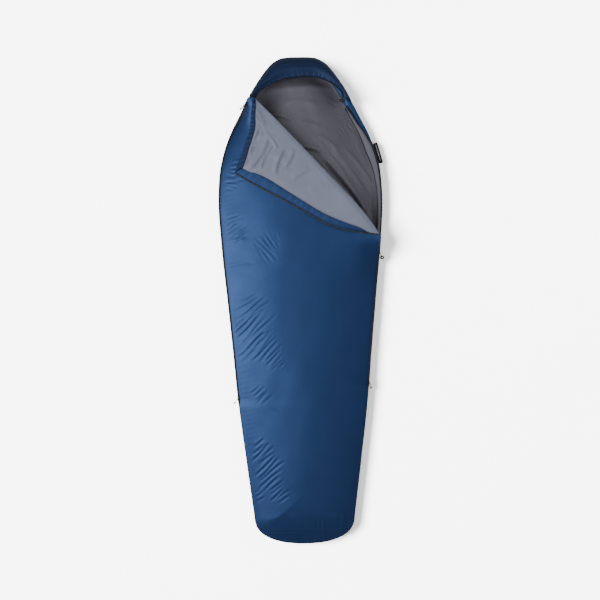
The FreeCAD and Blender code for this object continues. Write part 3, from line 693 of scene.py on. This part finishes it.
def front_panel():
    xy, faces, x, y, roll, _, at_fold = front_plan(EDGE, 130, 4.8)
    top = front_height(x, y)
    thick = 1.0 + 19 * smooth(depth_at(x, y, EDGE) / 60)
    thick = thick * (1 - at_fold) + np.maximum(roll - 1.2, 0.5) * at_fold
    pad = quilt_mesh(xy, faces, top, np.maximum(top - thick, SEAM + 0.6))
    panel = make_mesh("front_quilt", *pad, BLUE, "shell_blue")
    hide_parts("front_shell", "front_insulation")

    xy, faces, x, y, roll, out, at_fold = front_plan(8, 60, 16)
    top = front_height(x, y, wrinkles=False)
    depth = depth_at(x, y, EDGE)
    under = (1.6 + 25 * smooth(depth / 60)) * (1 - at_fold) + (roll + 0.4) * at_fold
    level = np.maximum(top - under, SEAM + 0.4)
    level = level + 0.8 * swell(x, y, 150, 1.0, 21) * smooth((depth - 30) / 60)
    level = level - 1.2 * smooth(-out / 30)
    pad = quilt_mesh(xy, faces, level, level - SHEET)
    lining = make_mesh("front_inner", *pad, GREY, "lining_grey")
    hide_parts("front_lining")


def underside(x, y, depth, pucker):
    """Lower face of the padding, gathered along the seam."""
    low = back_height(depth) + edge_puckers(x, y, depth, 22, pucker, 5.0) * smooth(depth / 8)
    return np.maximum(low, 0.6)


def back_panel():
    xy, faces = body_grid(EDGE, FOOT_SEAM, LENGTH, 120, 9)
    x, y = xy.T
    depth = depth_at(x, y, EDGE)
    low = underside(x, y, depth, 1.2)
    high = np.maximum(back_top(x, y + HALF, depth), low + 0.5)
    pad = quilt_mesh(xy, faces, high, low)
    panel = make_mesh("back_quilt", *pad, BLUE_BACK, "shell_blue")
    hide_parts("back_shell", "back_insulation")

    xy, faces = body_grid(9, 20, LENGTH, 130, 6.0)
    level = lining_height(*xy.T)
    pad = quilt_mesh(xy, faces, level, level - SHEET)
    lining = make_mesh("back_inner", *pad, CHARCOAL, "lining_charcoal")
    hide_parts("back_lining", "foot_lining")


def foot_panel():
    """The closed end of the bag: top and underside in one, gathered at its seam."""
    xy, faces = body_grid(EDGE, 0, FOOT_SEAM, 190, 4)
    x, y = xy.T
    depth = depth_at(x, y, EDGE)
    low = np.where(depth < 0.5, SEAM, underside(x, y, depth, 1.0))
    top = np.where(depth < 0.5, SEAM, front_height(x, y))
    pad = quilt_mesh(xy, faces, top, low)
    panel = make_mesh("foot_quilt", *pad, BLUE, "shell_blue")
    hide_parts("foot_shell", "foot_insulation")


front_panel()
back_panel()
foot_panel()

# ---- hood

FACE_EDGE = [
    (-190, 876), (-172, 899), (-143, 921), (-98, 941), (-40, 955), (26, 960),
    (88, 954), (130, 937), (162, 915), (184, 891), (191, 866),
]


def hood_brim():
    """The brim over the head and the gathered hem of the face opening, in shell blue painted darker
    as shade, and the brim's lining.
    """
    steps, deep = 260, 34
    t = np.linspace(0, 1, steps)
    # the left end reaches further down, under the front's neck
    left, right = (right_side[right_side[:, 1] >= NECK - drop] for drop in (42, 14))
    arch = np.vstack([left * [-1, 1], right[::-1]]) - [0, HALF]
    arch[:, 0] *= 0.995  # just inside the back's rim
    outer = along(arch, t)
    inner = along(smooth_curve(FACE_EDGE), t)
    v = np.linspace(0, 1, deep)
    v = v + 0.10 * np.sin(2 * np.pi * v) / 2
    plan = between(outer, inner, v)
    x, y = plan[..., 0], plan[..., 1]
    t, v = t[:, None], v[None, :]
    span = np.hypot(*(inner - outer).T)[:, None]
    rise = (1 - (1 - np.clip(v / 0.62, 0, 1)) ** 2.2) ** 0.6
    crown = 66 * rise - 8 * smooth((v - 0.6) / 0.4)  # highest a little before the hem
    gathers = 0.7 * np.sin(t * 2 * np.pi * 21 + 1.5 * np.sin(t * 37)) * smooth((v - 0.62) / 0.38)
    fine = 0.5 * np.sin(t * 2 * np.pi * 43 + 2 * np.sin(t * 23)) * smooth((v - 0.8) / 0.2)
    w = swell(x, y, 140, 1.6, 14)
    w += crease(x, y, -120, 985, -40, 1025, 9, 2.2, 4) + crease(x, y, 60, 1030, 150, 985, 9, 2.4, 5)
    w -= crease(x, y, -70, 1000, 60, 1008, 9, 2.0, 3)
    top = SEAM + crown + (w + (gathers + fine)) * smooth(v * span / 18)
    thick = 1.0 + 20 * np.sin(np.pi * np.clip(v, 0, 1)) ** 0.7 + 3 * v
    bottom = np.maximum(top - thick, SEAM - 0.5)
    brim = make_mesh("hood_quilt", *grid_pad(plan, top, bottom), BLUE_PAINTED_SHADE, "shell_navy")
    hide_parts("hood_shell", "hood_insulation")

    keep = np.arange(2, deep - 1, 2)
    under = bottom[:, keep] - 1.0
    pad = grid_pad(plan[:, keep], under, under - SHEET)
    lining = make_mesh("hood_inner", *pad, CHARCOAL, "lining_charcoal")
    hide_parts("hood_lining")

    share = np.linspace(0, 1, 700)
    edge = along(np.column_stack([inner, top[:, -1] - 4.5]), share)
    run = share * length_of(inner)
    radius = 5.2 + 0.55 * np.sin(2 * np.pi * run / 8.5 + 1.2 * np.sin(run / 19))
    radius = radius + 0.4 * np.sin(run / 31)
    hem = make_mesh("face_hem", *tube_along(edge, radius, 14), BLUE_PAINTED_SHADE, "shell_navy")
    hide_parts("brim_hem")


hood_brim()

# ---- fold roll and flap

# plan curves of the flap as it lies folded back: its lining's edges, then its outer edges
NECK_EDGE = [
    (-183, 857), (-187, 800), (-190, 735), (-203, 690), (-214, 660), (-229, 610), (-244, 566),
]
ZIP_EDGE = [
    (-244, 566), (-156, 530), (-66, 474), (15, 421), (101, 369),
    (187, 329), (258, 303), (288, 287), (328, 281),
]
TEETH_EDGE = [
    (-279, 550), (-236, 522), (-151, 475), (-65, 428), (38, 368),
    (123, 321), (215, 294), (262, 286), (300, 281), (331, 277),
]
HEM_EDGE = [
    (-196, 862), (-205, 800), (-212, 735), (-226, 690), (-237, 660), (-255, 610), (-279, 550),
]


def fan_grid(boundary, columns, rows):
    """Plan between the fold line and a free boundary that meets it at both ends."""
    u = np.linspace(0, 1, columns)
    base = FOLD_A - FOLD_OUT * FOLD_GAP + FOLD_DIR * (u[:, None] * FOLD_LONG)
    return between(base, along(boundary, u), np.linspace(0, 1, rows))


def flap_thickness(x, y):
    """Height of the flap's lining above the fold axis."""
    run, out = fold_coords(x, y)
    near = smooth(1 + out / 70)
    return (14.5 + swell(x, y, 210, 0.8, 31)) * (1 - near) + roll_radius(run) * near


FLAP_FOLDS = [
    (-238, 592, -186, 676, 7, 3.2, 6), (-229, 578, -174, 660, 5, -3.4, 6),
    (-214, 640, -176, 738, 7, 3.4, 5), (-203, 636, -164, 730, 5, -3.2, 5),
    (-213, 570, -136, 694, 7, 3.4, -9), (-199, 562, -126, 674, 5, -3.4, -9),
    (-168, 568, -120, 664, 7, 3.0, 7), (-156, 566, -110, 656, 5, -2.8, 7),
    (-106, 546, -68, 648, 8, 3.4, 6), (-94, 542, -58, 638, 5, -3.2, 6),
    (-130, 706, -96, 652, 8, 2.6, 4), (-120, 700, -88, 652, 5, -2.2, 4),
    (-190, 786, -156, 716, 8, 2.8, 4), (-184, 772, -150, 708, 5, -2.4, 4),
    (-62, 572, -26, 644, 8, 2.6, -5), (-52, 566, -18, 634, 5, -2.4, -5),
    (-178, 818, -148, 742, 6, 1.8, 2), (-120, 622, -58, 600, 12, 2.2, 5),
    (-192, 702, -128, 708, 9, 2.0, 4), (-30, 520, 40, 560, 12, 1.8, 5),
    (-22, 506, 46, 544, 7, -1.6, 5), (40, 470, 100, 500, 12, 1.4, 4),
]


FLAP_CLUSTERS = [
    (-214, 590, 26, 26, 40, 13, 2.6, 0.6), (-72, 590, 26, 26, 66, 14, 2.2, 1.6),
    (-190, 660, 30, 24, 62, 15, 1.8, 2.2),
]


def flap_wrinkles(x, y):
    w = swell(x, y, 120, 0.7, 41) + swell(x, y, 60, 0.25, 43)
    w = add_folds(w, x, y, FLAP_FOLDS, 1.35, 1.6)
    return add_clusters(w, x, y, FLAP_CLUSTERS)


def flap_pad():
    """The blue side of the flap, which lies underneath, with its filling."""
    outer = smooth_curve(HEM_EDGE[:-1] + [(-274, 557)] + TEETH_EDGE[1:])
    rows = 70
    plan = fan_grid(outer, 190, rows)
    x, y = plan[..., 0], plan[..., 1]
    v = np.linspace(0, 1, rows)[None, :]
    low = flap_bottom(x, y)
    low = low - 0.7 * swell(x, y, 90, 1.0, 51) * smooth(v / 0.2) * smooth((1 - v) / 0.1)
    high = low + 1.2 + (flap_thickness(x, y) - 8) * smooth((0.88 - v) / 0.25)
    high = np.maximum(np.minimum(high, low + 7), low + 0.6)
    on_fold = v < 1e-6
    rim = FOLD_Z + np.maximum(roll_radius(fold_coords(x, y)[0]) - 2.5, 0.4)
    pad = grid_pad(plan, np.where(on_fold, rim, high), np.where(on_fold, FOLD_Z, low))
    pad = make_mesh("flap_quilt", *pad, BLUE, "shell_blue", body="flap")
    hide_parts("flap_shell", "flap_insulation")


def flap_lining():
    """The grey side of the flap, which faces up."""
    rows = 110
    plan = fan_grid(smooth_curve(NECK_EDGE + ZIP_EDGE[1:]), 220, rows)
    x, y = plan[..., 0], plan[..., 1]
    v = np.linspace(0, 1, rows)[None, :]
    base = flap_bottom(x, y)
    level = base + 4.5 + (flap_thickness(x, y) - 4.5 + 0.4) * smooth((1 - v) / 0.16) ** 0.7
    level = level + flap_wrinkles(x, y) * smooth((1 - v) / 0.07) * smooth(v / 0.12)
    level = np.maximum(level, base + 2.4)
    level = np.where(v < 1e-6, FOLD_Z + roll_radius(fold_coords(x, y)[0]), level)
    pad = grid_pad(plan, level, level - SHEET)
    lining = make_mesh("flap_inner", *pad, GREY, "lining_grey", body="flap")
    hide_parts("flap_lining")


def fold_roll():
    """Soft roll where the lining turns over the fold."""
    cols, rows, reach = 220, 25, 19
    u = np.linspace(0.002, 0.998, cols)
    turn = np.linspace(-np.pi / 2, np.pi / 2, rows)
    base = FOLD_A + FOLD_DIR * (u[:, None] * FOLD_LONG)
    ripple = 1 + 0.03 * np.sin(u * 61) + 0.02 * np.sin(u * 143 + 1)
    sheets = []
    for shrink in (0.0, SHEET):
        radius = np.maximum(roll_radius(u * FOLD_LONG) - shrink, 0.3)
        push = radius[:, None] * np.cos(turn)[None, :] * ripple[:, None]
        xy = base[:, None] + FOLD_OUT * push[..., None]
        z = FOLD_Z + radius[:, None] * np.sin(turn)[None, :]
        sheets.append(np.concatenate([xy, z[..., None]], -1).reshape(-1, 3))
    closed = close_pair(grid_faces(cols, rows), cols * rows)
    roll = make_mesh("fold_roll", np.vstack(sheets), closed, GREY, "lining_grey", body=None)
    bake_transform(roll)


def flap_band(name, curve_a, curve_b, height, columns, rows, thick, material, slot, node):
    """Band of the flap between two plan curves; height(u, v, x, y) gives its upper face."""
    u, v = np.linspace(0, 1, columns), np.linspace(0, 1, rows)
    plan = between(along(curve_a, u), along(curve_b, u), v)
    top = height(u[:, None], v[None, :], plan[..., 0], plan[..., 1])
    band = make_mesh(name, *grid_pad(plan, top, top - thick), material, slot, body="flap")
    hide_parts(node)


def flap_trim():
    neck, hem = smooth_curve(NECK_EDGE), smooth_curve(HEM_EDGE)
    zip_line, teeth_line = smooth_curve(ZIP_EDGE), smooth_curve(TEETH_EDGE) + FOLD_OUT * 4.5

    def hem_top(u, v, x, y):
        roll = np.sqrt(np.maximum(1 - (1.08 * v - 0.08) ** 4, 0.0))
        gather = 0.5 * np.sin(u * 105 + 2 * np.sin(u * 17)) * v * (1 - v) * 4
        ends = smooth(u / 0.06) * smooth((1 - u) / 0.03)
        return flap_bottom(x, y) + 2.2 + (6.5 * roll + gather) * ends - 0.4 * v

    def facing_top(u, v, x, y):
        roll = 1 - v**2.2
        gather = 0.5 * np.sin(u * 120 + 3 * np.sin(u * 13)) * smooth(v / 0.4) * (1 - v)
        level = flap_bottom(x, y) + 2.4 + 5.5 * roll * smooth((1 - u) / 0.06)
        return level + gather + swell(x, y, 80, 0.3, 61)

    # the neck hem is in shell blue painted darker as shade
    flap_band("flap_hem", neck, hem, hem_top, 240, 18, 1.6, BLUE_PAINTED_SHADE, "shell_navy", "flap_neck_hem")
    shares = np.linspace(0, 0.965, 400)  # stops short of the fold, to clear the front when closed
    zip_line, teeth_line = along(zip_line, shares), along(teeth_line, shares)
    flap_band("flap_facing", zip_line, teeth_line, facing_top, 320, 18, 1.6, FACING, "shell_blue",
              "flap_zip_facing")


flap_pad()
flap_lining()
fold_roll()
flap_trim()

# ---- zips


def coil(name, path, tall, node, body="bag", half=1.5, material=TEETH):
    """A row of moulded coil teeth along a path (n x 3), tall upwards and half to each side."""
    pitch, around = 2.6, 8
    count = int(length_of(path) / pitch)
    centres = along(path, (np.arange(count) + 0.5) / count)
    rings = [(-0.36, 0.55), (-0.22, 1.0), (0.22, 1.0), (0.36, 0.55)]  # (place, size)
    shape = np.array([
        (place * pitch, math.cos(a) * half * size, math.sin(a) * tall * size)
        for place, size in rings
        for a in circle(around)
    ])
    verts = centres[:, None] + sum(
        axis[:, None] * shape[None, :, k : k + 1] for k, axis in enumerate(directions(centres))
    )
    tooth = [np.array(f) for f in tube_faces(len(rings), around)]
    faces = [(f + i * len(shape)).tolist() for i in range(count) for f in tooth]
    row = make_mesh(name, verts.reshape(-1, 3), faces, material, "zip_teeth", body=body)
    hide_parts(node)


def side_path(side, s0, s1, inset, height, step=4.0):
    """Points along one side of the bag; inset and height are numbers or lists of (s, value)."""
    s = np.linspace(s0, s1, int(abs(s1 - s0) / step) + 2)
    depth, level = (
        np.interp(s, *zip(*given)) if isinstance(given, list) else np.full(s.shape, float(given))
        for given in (inset, height)
    )
    wide = half_width(s)
    slope = (half_width(s + 3) - half_width(s - 3)) / 6
    long = np.sqrt(1 + slope**2)
    return np.column_stack([side * (wide - depth / long), s + slope * depth / long - HALF, level])


def plan_strip(a, b, rows):
    """Plan between two paths, and its two coordinates."""
    plan = between(a[:, :2], b[:, :2], np.linspace(0, 1, rows))
    return plan, plan[..., 0], plan[..., 1]


def closed_zip(name, side, s0, s1, tape_top, tape_low):
    """Both coils and both tapes of a closed length of zip, at the bag's edge."""
    line = side_path(side, s0, s1, 2.6, 0)
    for part, step in (("front", 3.2), ("back", -3.2)):
        line[:, 2] = SEAM + step
        coil(f"{name}_coil_{part}", line, 1.8, f"{name}_{part}_teeth")
    for part, width in (("front", tape_top), ("back", tape_low)):
        outer, inner = side_path(side, s0, s1, 0.6, 0), side_path(side, s0, s1, width, 0)
        plan, x, y = plan_strip(outer, inner, 5)
        if part == "front":
            z = np.maximum(front_height(x, y, wrinkles=False), SEAM + 1.6) + TAPE_THICK
        else:
            z = back_height(depth_at(x, y)) - TAPE_THICK
        pad = grid_pad(plan, z, z - TAPE_THICK)
        tape = make_mesh(f"{name}_tape_{part}", *pad, TAPE, "zip_tape")
        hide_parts(f"{name}_{part}_tape")


LEFT_TAPE = [(611, 8.5), (1720, 9), (1800, 11), (ZIP_NECK, 15)]
closed_zip("right_zip", 1, 672, ZIP_SPLIT, 8.5, 6.5)
closed_zip("left_zip", -1, 611, ZIP_NECK, LEFT_TAPE, 6.5)

# (distance from the foot end, height of the open zip)
OPEN_LEVEL = [(ZIP_SPLIT, 51), (1330, 55), (1500, 56.5), (1725, 57), (1902, 59)]
open_line = side_path(1, 1264, 1898, OPEN_INSET, OPEN_LEVEL)
coil("open_zip_coil", open_line, 1.9, "open_zip_teeth")


def open_tape():
    lower, upper = (
        side_path(1, 1264, 1900, [(s, d + far) for s, d in OPEN_INSET],
                  [(s, z - drop) for s, z in OPEN_LEVEL])
        for far, drop in ((-4.5, 2.4), (5.0, 0.6))
    )
    top = between(lower, upper, np.linspace(0, 1, 6))
    pad = grid_pad(top[..., :2], top[..., 2], top[..., 2] - TAPE_THICK)
    tape = make_mesh("open_zip_tape_band", *pad, TAPE, "zip_tape")
    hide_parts("open_zip_tape")


open_tape()

# zip on the flap's free edge, its coil painted lighter as a highlight
teeth_curve = smooth_curve(TEETH_EDGE)
flap_line = np.column_stack([teeth_curve, flap_bottom(*teeth_curve.T) + 1.6])
flap_line = along(flap_line, np.linspace(0.004, 0.985, 300))
coil("flap_zip_coil", flap_line, 1.7, "flap_zip_teeth", "flap", half=2.1, material=COIL_PAINTED_HIGHLIGHT)


def tape_top(_, v, x, y):
    return flap_bottom(x, y) + 1.5 + 0.6 * (1 - v)


flap_band("flap_tape_band", teeth_curve + FOLD_OUT * 7, teeth_curve - FOLD_OUT * 3.2, tape_top,
          200, 5, TAPE_THICK, TAPE, "zip_tape", "flap_zip_tape")

# ---- draft tubes


def draft_tube(name, side, s0, s1, inset, width, level, high, node):
    """Padded tube along a zip; width is a list of (s, width), high half its height."""
    centre = side_path(side, s0, s1, inset, level)
    count, around = len(centre), 18
    u = np.linspace(0, 1, count)
    ends = np.sqrt(np.clip(smooth(u / 0.03) * smooth((1 - u) / 0.03), 0.02, 1))
    half = np.interp(np.linspace(s0, s1, count), *zip(*width)) / 2 * ends
    uneven = 1 + 0.05 * np.sin(u * 73) + 0.04 * np.sin(u * 41 + 1)
    turn = circle(around)
    out = np.cross(directions(centre)[0], UP)
    ring = out[:, None] * (np.cos(turn)[None, :, None] * half[:, None, None])
    ring = ring + UP * (np.sin(turn)[None, :, None] * (high * ends * uneven)[:, None, None])
    verts = (centre[:, None] + ring).reshape(-1, 3)
    tube = make_mesh(name, verts, tube_faces(count, around), TUBE_GREY, "lining_grey")
    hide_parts(node)


# (distance from the foot end, inset or width there)
SHADOW_STRIP_INSET = [(1290, 17), (1527, 20), (1613, 28), (1699, 40), (1785, 38), (1828, 38), (1895, 40)]
TUBE_INSET = [
    (700, 34), (1250, 20), (1320, 12), (1527, 13), (1613, 17),
    (1699, 23), (1785, 28), (1828, 32), (1895, 36),
]
TUBE_WIDTH = [
    (700, 24), (1250, 18), (1330, 13), (1527, 16), (1613, 22),
    (1699, 32), (1785, 20), (1828, 12), (1895, 8),
]
TUBE_LEVEL = [(700, 44), (1240, 45), (1300, 52), (1893, 52)]
draft_tube("draft_tube_right", 1, 700, 1893, TUBE_INSET, TUBE_WIDTH, TUBE_LEVEL, 7,
           "right_draft_tube")


def tube_shadow_strip():
    """Dark strip where the draft tube is sewn to the lining: a painted contact shadow along the
    tube's inner edge.
    """
    inner, outer = (
        side_path(1, 1292, 1896, [(s, d + half) for s, d in SHADOW_STRIP_INSET], 0) for half in (2.6, -2.6)
    )
    plan, x, y = plan_strip(inner, outer, 5)
    z = lining_height(x, y) + 1.2
    make_mesh("tube_painted_shadow_strip", *grid_pad(plan, z, z - TAPE_THICK), TAPE, "zip_tape")


# dark strip painted as the draft tube's contact shadow on the lining
tube_shadow_strip()
draft_tube("draft_tube_left", -1, 640, 1880, 42, [(640, 22), (1880, 22)], 46, 6, "left_draft_tube")

# ---- hardware from the frame


def finish_node(name, material, width=0.0003):
    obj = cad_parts[name]
    obj.data.materials.clear()
    obj.data.materials.append(material)
    rounding = obj.modifiers.new("edges", "BEVEL")
    rounding.width = width
    rounding.segments = 2
    rounding.limit_method = "ANGLE"
    rounding.angle_limit = math.radians(35)


for set_name in ("right_main", "right_lower", "left_top", "left_lower"):
    finish_node(f"{set_name}_slider", METAL)
    finish_node(f"{set_name}_pull", PULL)
finish_node("right_zip_stop", TEETH)
finish_node("left_zip_stop", TEETH)
finish_node("cord_lock_barrel", LOCK, 0.0005)
finish_node("cord_lock_button", LOCK, 0.0005)
finish_node("cord_lock_spring", STEEL, 0.00005)
finish_node("hood_drawcord", CORD, 0.0001)


def cord_tab():
    """The drawcord's sewn end at the left of the face opening: a small doubled loop."""
    path = smooth_curve([
        (-187, 872, 111), (-196, 872, 112), (-206, 877, 110), (-207, 885, 108), (-198, 888, 111),
        (-190, 882, 114), (-193, 874, 116), (-201, 871, 113), (-205, 868, 108),
    ], 1.0)
    verts, faces = tube_along(path, 2.6 + 0.15 * np.sin(np.arange(len(path)) * 1.1), 10)
    make_mesh("cord_tab", verts, faces, CORD, "cord")


def node_points(name):
    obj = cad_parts[name]
    return np.array([obj.matrix_world @ v.co for v in obj.data.vertices])


def pull_grip(set_name, radius, hole):
    """Rubber grip moulded over the outer end of a pull."""
    pts = node_points(f"{set_name}_pull") / MM
    home = node_points(f"{set_name}_slider").mean(0) / MM
    ahead = pts.mean(0)[:2] - home[:2]
    ahead /= np.linalg.norm(ahead)
    far = ((pts[:, :2] - home[:2]) @ ahead).max()
    centre = home[:2] + ahead * (far - radius * 0.96)
    high, low = pts[:, 2].max(), pts[:, 2].min()
    level, half = (high + low) / 2, (high - low) / 2 + 0.35
    around = 40
    turn = circle(around)
    section = [
        (hole, -0.7), (hole + 0.6, -1), (radius - 0.7, -1), (radius, -0.4),
        (radius, 0.4), (radius - 0.7, 1), (hole + 0.6, 1), (hole, 0.7),
    ]
    verts = np.stack([
        np.column_stack([
            centre[0] + size * np.cos(turn),
            centre[1] + size * np.sin(turn),
            np.full(around, level + lift * half),
        ])
        for size, lift in section
    ], 1)
    faces = grid_faces(around, len(section), wrap=True, ring=True)
    verts = verts.reshape(-1, 3)
    make_mesh(f"{set_name}_pull_grip", verts, faces, PULL, "pull_plastic", body=f"{set_name}_pull")


cord_tab()
pull_grip("right_main", 8.4, 2.2)
for small in ("right_lower", "left_top", "left_lower"):
    pull_grip(small, 4.2, 1.0)


def hang_loop():
    """Webbing doubled into a narrow flat loop, both legs sewn into the edge."""
    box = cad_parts["side_loop"]
    corners = np.array([box.matrix_world @ Vector(c) for c in box.bound_box]) / MM
    middle = corners.mean(0)
    lean = math.radians(16)
    ahead = np.array([-math.sin(lean), math.cos(lean)])
    side = np.array([math.cos(lean), math.sin(lean)])
    half_long, half_wide, band, thick = 46.0, 9.5, 9.1, 1.0
    turn = circle(96)
    ring = np.stack([np.cos(turn), np.sin(turn)], -1)
    square = np.sign(ring) * np.abs(ring) ** np.array([0.45, 0.12])
    outer, inner = square * [half_wide, half_long], square * [half_wide - band, half_long - band]
    ripple = 0.5 * np.sin(turn * 2)
    sections = []
    for flat_ring, level in ((outer, -thick), (inner, -thick), (inner, thick), (outer, thick)):
        xy = middle[:2] + flat_ring[:, :1] * side + flat_ring[:, 1:] * ahead
        sections.append(np.column_stack([xy, middle[2] + level + ripple]))
    verts = np.stack(sections, 1).reshape(-1, 3)
    faces = grid_faces(len(turn), len(sections), wrap=True, ring=True)
    loop = make_mesh("webbing_loop", verts, faces, WEBBING, "webbing", smooth_faces=False)
    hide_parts("side_loop")


hang_loop()

# ---- stage, lights and camera


def floor():
    size, level = 60.0, -0.4 * MM
    mesh = bpy.data.meshes.new("studio_floor")
    corners = [(a * size, b * size, level) for a, b in ((-1, -1), (1, -1), (1, 1), (-1, 1))]
    mesh.from_pydata(corners, [], [[0, 1, 2, 3]])
    obj = new_object("studio_floor", mesh)
    mat, tree, shader = new_material("studio_paper")
    patches = noise(tree, object_coords(tree), 3, 3)
    paper = ramp(tree, patches, (0.80, 0.80, 0.80), (0.81, 0.81, 0.81))
    tree.links.new(paper, shader.inputs["Base Color"])
    put(shader, {"Roughness": 0.9, "Specular IOR Level": 0.1})
    put(shader, {"Emission Color": (1, 1, 1, 1), "Emission Strength": 0.6})
    obj.visible_diffuse = False
    obj.visible_glossy = False
    mesh.materials.append(mat)
    return obj


def aim(obj, direction):
    obj.rotation_mode = "QUATERNION"
    obj.rotation_quaternion = Vector(direction).to_track_quat("-Z", "Y")


def area_light(name, place, target, wide, tall, power):
    data = bpy.data.lights.new(name, "AREA")
    data.shape = "RECTANGLE"
    data.size, data.size_y = wide, tall
    data.energy = power
    obj = new_object(name, data)
    obj.location = place
    aim(obj, Vector(target) - Vector(place))
    return obj


def floor_light(paper):
    """A broad light from the left that brightens the paper only, so it stays paler than the bag."""
    only = bpy.data.collections.new("paper_only")
    only.objects.link(paper)
    data = bpy.data.lights.new("paper_light", "SUN")
    data.energy = 29.5
    data.angle = math.radians(30)
    obj = new_object("paper_light", data)
    aim(obj, (1.0, -0.12, -1.08))
    obj.light_linking.receiver_collection = only


def studio():
    world = bpy.data.worlds.new("studio")
    world.use_nodes = True
    put(world.node_tree.nodes["Background"], {"Color": (0.95, 0.97, 1.0, 1), "Strength": 0.35})
    bpy.context.scene.world = world
    area_light("key", (-2.6, -0.1, 2.1), (0.0, -0.15, 0.05), 1.4, 4.2, 150)
    area_light("top", (0.4, 0.4, 4.2), (0.0, 0.0, 0.0), 4.0, 4.0, 27)
    fill = area_light("fill", (2.3, 1.3, 2.2), (0.1, 0.6, 0.05), 1.6, 1.6, 46)
    fill.visible_glossy = False


def camera():
    """Straight above the bag, turned slightly so that the bag leans as it was laid."""
    data = bpy.data.cameras.new("camera")
    obj = new_object("camera", data)
    distance = 7.0
    field = 2.587  # what the frame covers at the height of the side seam
    data.sensor_width = 36
    data.lens = 36 * distance / field
    data.clip_end = 200
    obj.location = (-0.0070, 0.0022, distance + SEAM * MM)
    obj.rotation_euler = (0, 0, math.radians(-0.80))
    bpy.context.scene.camera = obj


floor_light(floor())
studio()
camera()

bpy.context.view_layer.update()
